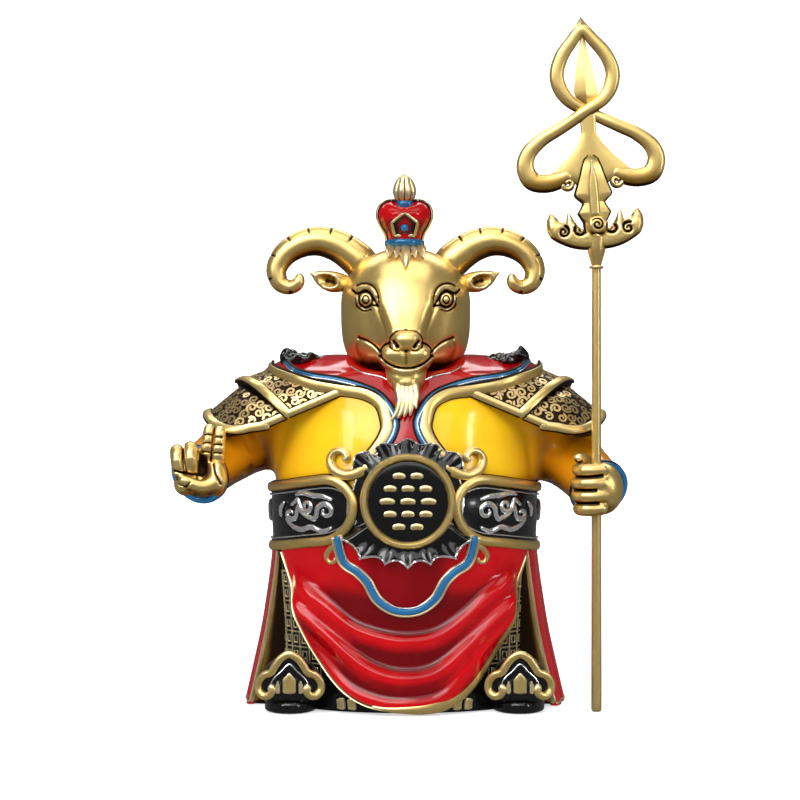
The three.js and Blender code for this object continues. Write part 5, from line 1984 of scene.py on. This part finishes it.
def pole_shaft():
    """The shaft, which widens to a neck under the head, with a fine ring round the neck."""
    low, top = 1.35 * POLE_UNIT, 1.16 * POLE_UNIT
    neck = HEAD_FOOT - 6.0
    flare = np.linspace(neck + 0.5, HEAD_FOOT + 1.5, 8)
    heights = np.concatenate([[0.02, 0.5], np.linspace(2, neck, 60), flare])
    levels = (0, 0.5, neck, HEAD_FOOT - 2, HEAD_FOOT + 2)
    radius = np.interp(heights, levels, (0.8 * low, low, top, 2.0 * top, 2.2 * top))
    shaft = turned(capped(np.stack([radius, heights], axis=-1)), (*FIST[:2], 0), 40)
    ring = level_ring((*FIST[:2], neck - 0.2), 1.4, 40)
    return [shaft, sweep(ring, 0.5, 0.4, face=UP, sides=10, closed=True)]


def ribbon_half(t):
    """Half the ribbon's width, the same on both sides of the top of its loop."""
    shares = (0, 0.12, 0.27, 0.42, 0.62, 0.72, 0.82, 0.93, 1)
    return np.interp(np.abs(2 * t - 1), shares, (1.5, 1.8, 1.9, 1.5, 1.75, 2.1, 2.5, 2.3, 1.6))


def pole_ribbon():
    """The ornament's ribbon, which passes over itself at the crossing."""
    count = 420
    path = smooth_line([(x, 0, z) for x, z in ribbon_path()], count)
    order = np.arange(count)
    far_off = np.abs(path[:, 2] - CROSSING) + np.abs(path[:, 0]) * 2
    half = count // 2
    for first, sign in ((0, 1), (half, -1)):
        crossing = first + np.argmin(far_off[first:first + half])
        path[:, 1] += 0.75 * sign * bell((order - crossing) / 16)
    ribbon = sweep(path, ribbon_half, 1.3, sides=18, power=2.3)
    # The ribbon is darker towards its lower ends.
    ribbon.ink_and_shade = 0.26 * smoothstep(22 - ribbon.points[:, 2], 0, 7)
    return ribbon.moved(on_head)


def pole_web():
    """The thin ground between the ribbon's two lobes."""
    def place(u, v, top):
        proud = 0.5 + 0.75 * np.sqrt(1 - 0.9 * u**2)
        return spots(u * np.interp(v, *WEB), proud if top else -proud, v)

    return plate(np.linspace(-1, 1, 15), np.linspace(WEB[0][0], WEB[0][-1], 34), place).moved(on_head)


def polearm():
    long = [(0.9, 55.4), (0.6, 52.6), (1.9, 46.5), (3.2, 39), (2.6, 37.4), (0.9, 36), (0.15, 35)]
    tip = [(0.1, 58.3), (0.9, 57.1), (2.0, 55.8), (3.2, 54.3), (0.3, 53.9)]
    upper = [blade(long, 1.25), blade(tip, 1.3)]
    lower = [notched_blade(0.0, 1.5, 1.1), notched_blade(0.45, 1.45, 0.0).stained(0.9)]
    fins = []
    for side in SIDES:
        spine = smooth_line([(0, side * 2.3, 21.2), (0, side * 2.3, 12), (0, side * 2.3, 6.6)], 30)
        fins.append(sweep(spine, lambda t: 0.35 + smoothstep(t, 0, 0.5), 0.75, face=(0, side, 0), sides=14))
    fins = joined(fins).moved(on_head)
    head = [pole_ribbon(), pole_web(), upper, lower, fins, crescent(), lobe_curls()]
    # under paints strong shade on the faces that look down.
    piece("polearm_dressed", "gold", pole_shaft(), head, under=1.15)


def notched_blade(grow, edge, ridge):
    """The short notched blade below the ornament, proud in front and behind and higher in its middle."""
    def place(u, v, top):
        proud = edge + ridge * (1 - np.abs(u))
        return spots(u * (np.interp(v, *NOTCHES) + grow), proud if top else -proud, v)

    heights = np.unique(np.concatenate([NOTCHES[0], np.linspace(NOTCHES[0][0], NOTCHES[0][-1], 40)]))
    return plate(np.linspace(-1, 1, 9), heights, place).moved(on_head)


def lobe_curls():
    """The small inward curls where the two lobes meet over the blade."""
    parts = []
    for side in SIDES:
        curl = spiral((6.2, 15.6), 1.5, 1.1, start=0.2, hand=-1, end=0.3)
        line = [(side * x, 0, z) for x, z in curl]
        parts.append(sweep(smooth_line(line, 40), 0.75, 1.25, sides=12).moved(on_head))
    return parts


def crescent():
    """The crescent guard, with cloud curls along it and an upturned horn at each end."""
    clay = Clay((-13.6, -4.2, -3.2), (13.6, 4.2, 10.4), 0.27)
    thick = np.interp(np.arange(16), (0, 6, 10, 13, 15), (2.6, 2.7, 2.6, 1.5, 0.35))
    for side in SIDES:
        arc = mirrored([(0, 0, 0.9), (4, 0, 1.2), (7.6, 0, 2.5), (10.3, 0, 4.4), (11.2, 0, 8.2)], side, 0)
        clay.limb(smooth_line(arc, 16), thick, 0.8)
        prong = mirrored([(5.2, 0, 3), (6.3, 0, 5.4), (6.6, 0, 8.3)], side, 0)
        clay.limb(smooth_line(prong, 8), np.linspace(2.0, 0.3, 8), 0.7)
        for cx, cz, radius in ((4.3, 3.7, 2.0), (8.3, 3.3, 1.5)):
            seen = spiral((side * cx, cz), radius, 1.3, start=1.2, hand=side)
            clay.engrave(seen, 0.42, 1.2, behind=0)
            clay.groove([(x, 2.2, z) for x, z in seen], 0.42, 0.9)
    part, (x, y, z) = clay.all()
    clay.field[part] = soft_max(clay.field[part], np.abs(y) - 2.1, 0.5)
    boss = spiral((0.4, 4.6), 1.7, 1.4, start=2.4, hand=-1)
    for side in SIDES:
        clay.ball((0.4, 1.7 * side, 4.5), (2.8, 2.0, 2.6), 0.6)
        clay.groove([(x, 3.5 * side, z) for x, z in boss], 0.4, 0.9)
    clay.lines.append((np.array(boss), 0.4, 0, 1.0))
    return clay.skin().moved(on_head)


# Stage

VIEW = {"x": -0.0012, "away": 0.6, "z": 0.080, "lens": 101.25}


def floor():
    """A pale floor that curves up into a backdrop behind the figure."""
    us = np.linspace(-1.0, 1.0, 9)
    run = [(1.6, 0.0), (2.1, 0.06), (2.5, 0.3), (2.7, 0.7), (2.75, 1.2), (2.75, 1.8)]
    line = smooth_line(run, 40)
    ys, zs = np.concatenate([[-0.25], line[:, 0]]), np.concatenate([[0.0], line[:, 1]])
    vs = np.arange(len(ys), dtype=float)

    def place(u, v, top):
        y, z = np.interp(v, vs, ys), np.interp(v, vs, zs)
        return spots(u, y, z - (0.0002 if top else 0.02)) / UNIT

    mesh = to_mesh("floor", plate(us, vs, place), 60)
    obj = bpy.data.objects.new("floor", mesh)
    bpy.context.scene.collection.objects.link(obj)
    paper = Finish("paper")
    grain = paper.noise(30.0, 3)
    paper.set(Base_Color=paper.blend(grain, (0.90, 0.90, 0.90), (0.93, 0.93, 0.93)), Roughness=0.8)
    paper.set(Emission_Color=(1, 1, 1, 1), Emission_Strength=0.6)
    mesh.materials.append(paper.material)
    obj.visible_glossy = False


def softbox(name, place, aim, size, power):
    light = bpy.data.lights.new(name, "AREA")
    light.shape = "RECTANGLE"
    light.size, light.size_y = size
    light.energy = power
    obj = bpy.data.objects.new(name, light)
    bpy.context.scene.collection.objects.link(obj)
    obj.location = place
    obj.rotation_euler = (Vector(aim) - Vector(place)).to_track_quat("-Z", "Y").to_euler()


def lights():
    """Soft boxes over a dim room with two narrow bright ones, and a plain rendering of their light."""
    middle = (0, 0, 0.08)
    softbox("key", (-0.35, -0.8, 0.8), middle, (0.8, 0.5), 5.5)
    softbox("front", (0.0, -1.1, 0.7), middle, (1.6, 0.8), 5)
    softbox("top", (0.0, -0.2, 1.0), middle, (1.0, 0.7), 4)
    softbox("strip_left", (-0.65, -0.6, 0.45), middle, (0.14, 0.5), 1.3)
    softbox("strip_right", (0.8, -0.55, 0.35), middle, (0.08, 0.6), 1.6)
    softbox("backdrop", (0.0, 1.2, 1.5), (0, 1.9, 0.1), (2.0, 1.0), 30)
    world = bpy.data.worlds.new("studio")
    bpy.context.scene.world = world
    world.use_nodes = True
    sky = world.node_tree.nodes["Background"]
    sky.inputs["Color"].default_value = (1, 1, 1, 1)
    sky.inputs["Strength"].default_value = 0.1
    bpy.context.scene.view_settings.view_transform = "Standard"


def camera():
    lens = bpy.data.cameras.new("camera")
    lens.lens = VIEW["lens"]
    lens.sensor_width = 36
    lens.clip_start, lens.clip_end = 0.01, 20
    obj = bpy.data.objects.new("camera", lens)
    bpy.context.scene.collection.objects.link(obj)
    obj.location = (VIEW["x"], -VIEW["away"], VIEW["z"])
    obj.rotation_euler = (math.pi / 2, 0, 0)
    bpy.context.scene.camera = obj


# Add-on

def length(name, description, default, low, high):
    return bpy.props.FloatProperty(
        name=name, description=description, default=default, min=low, max=high,
        subtype="DISTANCE", unit="LENGTH",
    )


def colour(name, description, default):
    return bpy.props.FloatVectorProperty(
        name=name, description=description, default=default, min=0, max=1, size=3, subtype="COLOR",
    )


class FigureSizes(bpy.types.PropertyGroup):
    carving_step: length(
        "Carving step", "Spacing of the points on the carved head and hands", 0.308 * UNIT, 1e-4, 1e-3
    )
    curl_spacing: length(
        "Curl spacing", "Least distance between the cloud curls on the armour", 2.45 * UNIT, 1e-3, 5e-3
    )
    lattice_pitch: length(
        "Lattice pitch", "Side of one square of the net on the trousers", 3.9 * UNIT, 1e-3, 6e-3
    )


class FigureColours(bpy.types.PropertyGroup):
    gold: colour("Gold", "Gilding on open surfaces", (0.91, 0.66, 0.23))
    # Shaded gold is also painted shade on gilding that faces down.
    gold_shade: colour("Shaded gold", "Gilding where it is a little worn", (0.5, 0.27, 0.045))
    gold_edge: colour("Edge gold", "Gilding rubbed pale on proud edges", (1.0, 0.87, 0.55))
    # Patina brown is also painted shade on gilding that faces down steeply.
    patina: colour("Patina", "Brown left in the hollows of the gilding", (0.026, 0.012, 0.004))
    # Silver also makes the painted highlights along the blue ribbons.
    silver: colour("Silver", "Thin raised lines", (0.9, 0.91, 0.92))
    red: colour("Red", "Robes and mantle", (0.5, 0.001, 0.004))
    # Deep red is also painted shade on faces that look down and between the drape's folds.
    red_deep: colour("Deep red", "Red where the enamel lies thick", (0.13, 0.0, 0.002))
    yellow: colour("Yellow", "Chest and sleeves", (0.98, 0.62, 0.015))
    # Amber is the sleeves' own colour, and painted shade at the chest's sides.
    amber: colour("Amber", "Yellow at the sides and on the sleeves", (0.74, 0.23, 0.003))
    # Brown is painted shade under the sleeves and below the armour.
    brown: colour("Brown", "Yellow under the sleeves", (0.06, 0.014, 0.001))
    black: colour("Black", "Belt, boots and fur", (0.004, 0.004, 0.005))
    blue: colour("Blue", "Ribbons, rings and cuffs", (0.02, 0.155, 0.35))
    # Deep blue is also painted shade on faces that look down.
    blue_deep: colour("Deep blue", "Blue where the enamel lies thick", (0.005, 0.06, 0.17))


class FIGURE_OT_finishes(bpy.types.Operator):
    """Makes the gilding, the silver and the enamels"""
    bl_idname = "figure.finishes"
    bl_label = "Finishes"

    def execute(self, context):
        tones = context.scene.figure_colours
        gilding("gold", tones, 0.1)
        gilding("old gold", tones, 0.3, dull=0.6)
        gilding("dark gold", tones, 0.9)
        silvering(tones)
        enamelling("red enamel", tones.red, tones.red_deep)
        enamelling("yellow enamel", tones.yellow, tones.brown, amber=tones.amber)
        enamelling("black enamel", tones.black, (0.001, 0.001, 0.001), coat=0.7)
        enamelling("blue enamel", tones.blue, tones.blue_deep, metal=0.2)
        return {"FINISHED"}


class FIGURE_OT_torso(bpy.types.Operator):
    """Makes the chest, the sleeves, the mantle and its borders"""
    bl_idname = "figure.torso"
    bl_label = "Torso and mantle"

    def execute(self, context):
        body = body_clay()
        torso = piece("torso", "yellow enamel", body.skin(), crease=0)
        paint_amber_and_shade(torso.data)
        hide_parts("figure")
        piece("mantle", "red enamel", mantle_clay(body).skin(), crease=0)
        mantle_trims()
        fur()
        return {"FINISHED"}


class FIGURE_OT_head(bpy.types.Operator):
    """Makes the head, its horns and ears, the beard and the forelock"""
    bl_idname = "figure.head"
    bl_label = "Head"

    def execute(self, context):
        step = context.scene.figure_sizes.carving_step / UNIT
        # The head gets painted shade on its low cheeks and, by under, on faces that look down.
        piece("head", "gold", shaded_jowls(head_clay(step).skin()), crease=0, under=0.5)
        piece("horns", "gold", [horn(side) for side in SIDES])
        piece("ears", "gold", [ear(side) for side in SIDES], crease=0)
        piece("beard", "gold", beard())
        piece("forelock", "gold", forelock())
        return {"FINISHED"}


class FIGURE_OT_crown(bpy.types.Operator):
    """Makes the small crown with its flame"""
    bl_idname = "figure.crown"
    bl_label = "Crown"

    def execute(self, context):
        crown()
        return {"FINISHED"}


class FIGURE_OT_armour(bpy.types.Operator):
    """Makes the two tiers of each shoulder's armour, with their cloud curls"""
    bl_idname = "figure.armour"
    bl_label = "Shoulder armour"

    def execute(self, context):
        armour(context.scene.figure_sizes)
        return {"FINISHED"}


class FIGURE_OT_hands(bpy.types.Operator):
    """Makes the open hand, the fist and the cuffs"""
    bl_idname = "figure.hands"
    bl_label = "Hands and cuffs"

    def execute(self, context):
        step = 0.9 * context.scene.figure_sizes.carving_step / UNIT
        piece("open_hand", "gold", open_hand(step), crease=0)
        piece("fist", "gold", fist(step), crease=0)
        cuffs()
        return {"FINISHED"}


class FIGURE_OT_belt(bpy.types.Operator):
    """Makes the belt, the medallion, its fringe and the scroll hooks"""
    bl_idname = "figure.belt"
    bl_label = "Belt and medallion"

    def execute(self, context):
        belt()
        fringe()
        medallion()
        hooks()
        return {"FINISHED"}


class FIGURE_OT_skirts(bpy.types.Operator):
    """Makes the drape, the apron, the robe and the trousers"""
    bl_idname = "figure.skirts"
    bl_label = "Skirts"

    def execute(self, context):
        sizes = context.scene.figure_sizes
        robe()
        legs(sizes)
        drape()
        apron()
        ground_plates()
        plinth()
        return {"FINISHED"}


class FIGURE_OT_boots(bpy.types.Operator):
    """Makes the boots with their cloud-shaped toe plates"""
    bl_idname = "figure.boots"
    bl_label = "Boots"

    def execute(self, context):
        boots()
        return {"FINISHED"}


class FIGURE_OT_polearm(bpy.types.Operator):
    """Makes the polearm's shaft and ornamental head"""
    bl_idname = "figure.polearm"
    bl_label = "Polearm"

    def execute(self, context):
        polearm()
        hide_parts("polearm")
        return {"FINISHED"}


class FIGURE_OT_stage(bpy.types.Operator):
    """Makes the floor, the lights and the camera"""
    bl_idname = "figure.stage"
    bl_label = "Stage"

    def execute(self, context):
        floor()
        lights()
        camera()
        return {"FINISHED"}


STEPS = (
    FIGURE_OT_stage, FIGURE_OT_finishes, FIGURE_OT_torso, FIGURE_OT_head, FIGURE_OT_crown, FIGURE_OT_armour,
    FIGURE_OT_hands, FIGURE_OT_belt, FIGURE_OT_skirts, FIGURE_OT_boots, FIGURE_OT_polearm,
)


class FIGURE_PT_panel(bpy.types.Panel):
    """Lists the figure's sizes, colours and steps"""
    bl_idname = "FIGURE_PT_panel"
    bl_label = "Zodiac figure"
    bl_space_type = "VIEW_3D"
    bl_region_type = "UI"
    bl_category = "Figure"

    def draw(self, context):
        for group in (context.scene.figure_sizes, context.scene.figure_colours):
            box = self.layout.box()
            for name in group.bl_rna.properties.keys():
                if name not in ("rna_type", "name"):
                    box.prop(group, name)
        for step in STEPS:
            self.layout.operator(step.bl_idname)


CLASSES = (FigureSizes, FigureColours, *STEPS, FIGURE_PT_panel)


def register():
    for cls in CLASSES:
        bpy.utils.register_class(cls)
    bpy.types.Scene.figure_sizes = bpy.props.PointerProperty(type=FigureSizes)
    bpy.types.Scene.figure_colours = bpy.props.PointerProperty(type=FigureColours)


def unregister():
    del bpy.types.Scene.figure_sizes
    del bpy.types.Scene.figure_colours
    for cls in reversed(CLASSES):
        bpy.utils.unregister_class(cls)


def main():
    register()
    for step in STEPS:
        group, name = step.bl_idname.split(".")
        getattr(getattr(bpy.ops, group), name)()


if __name__ == "__main__":
    main()
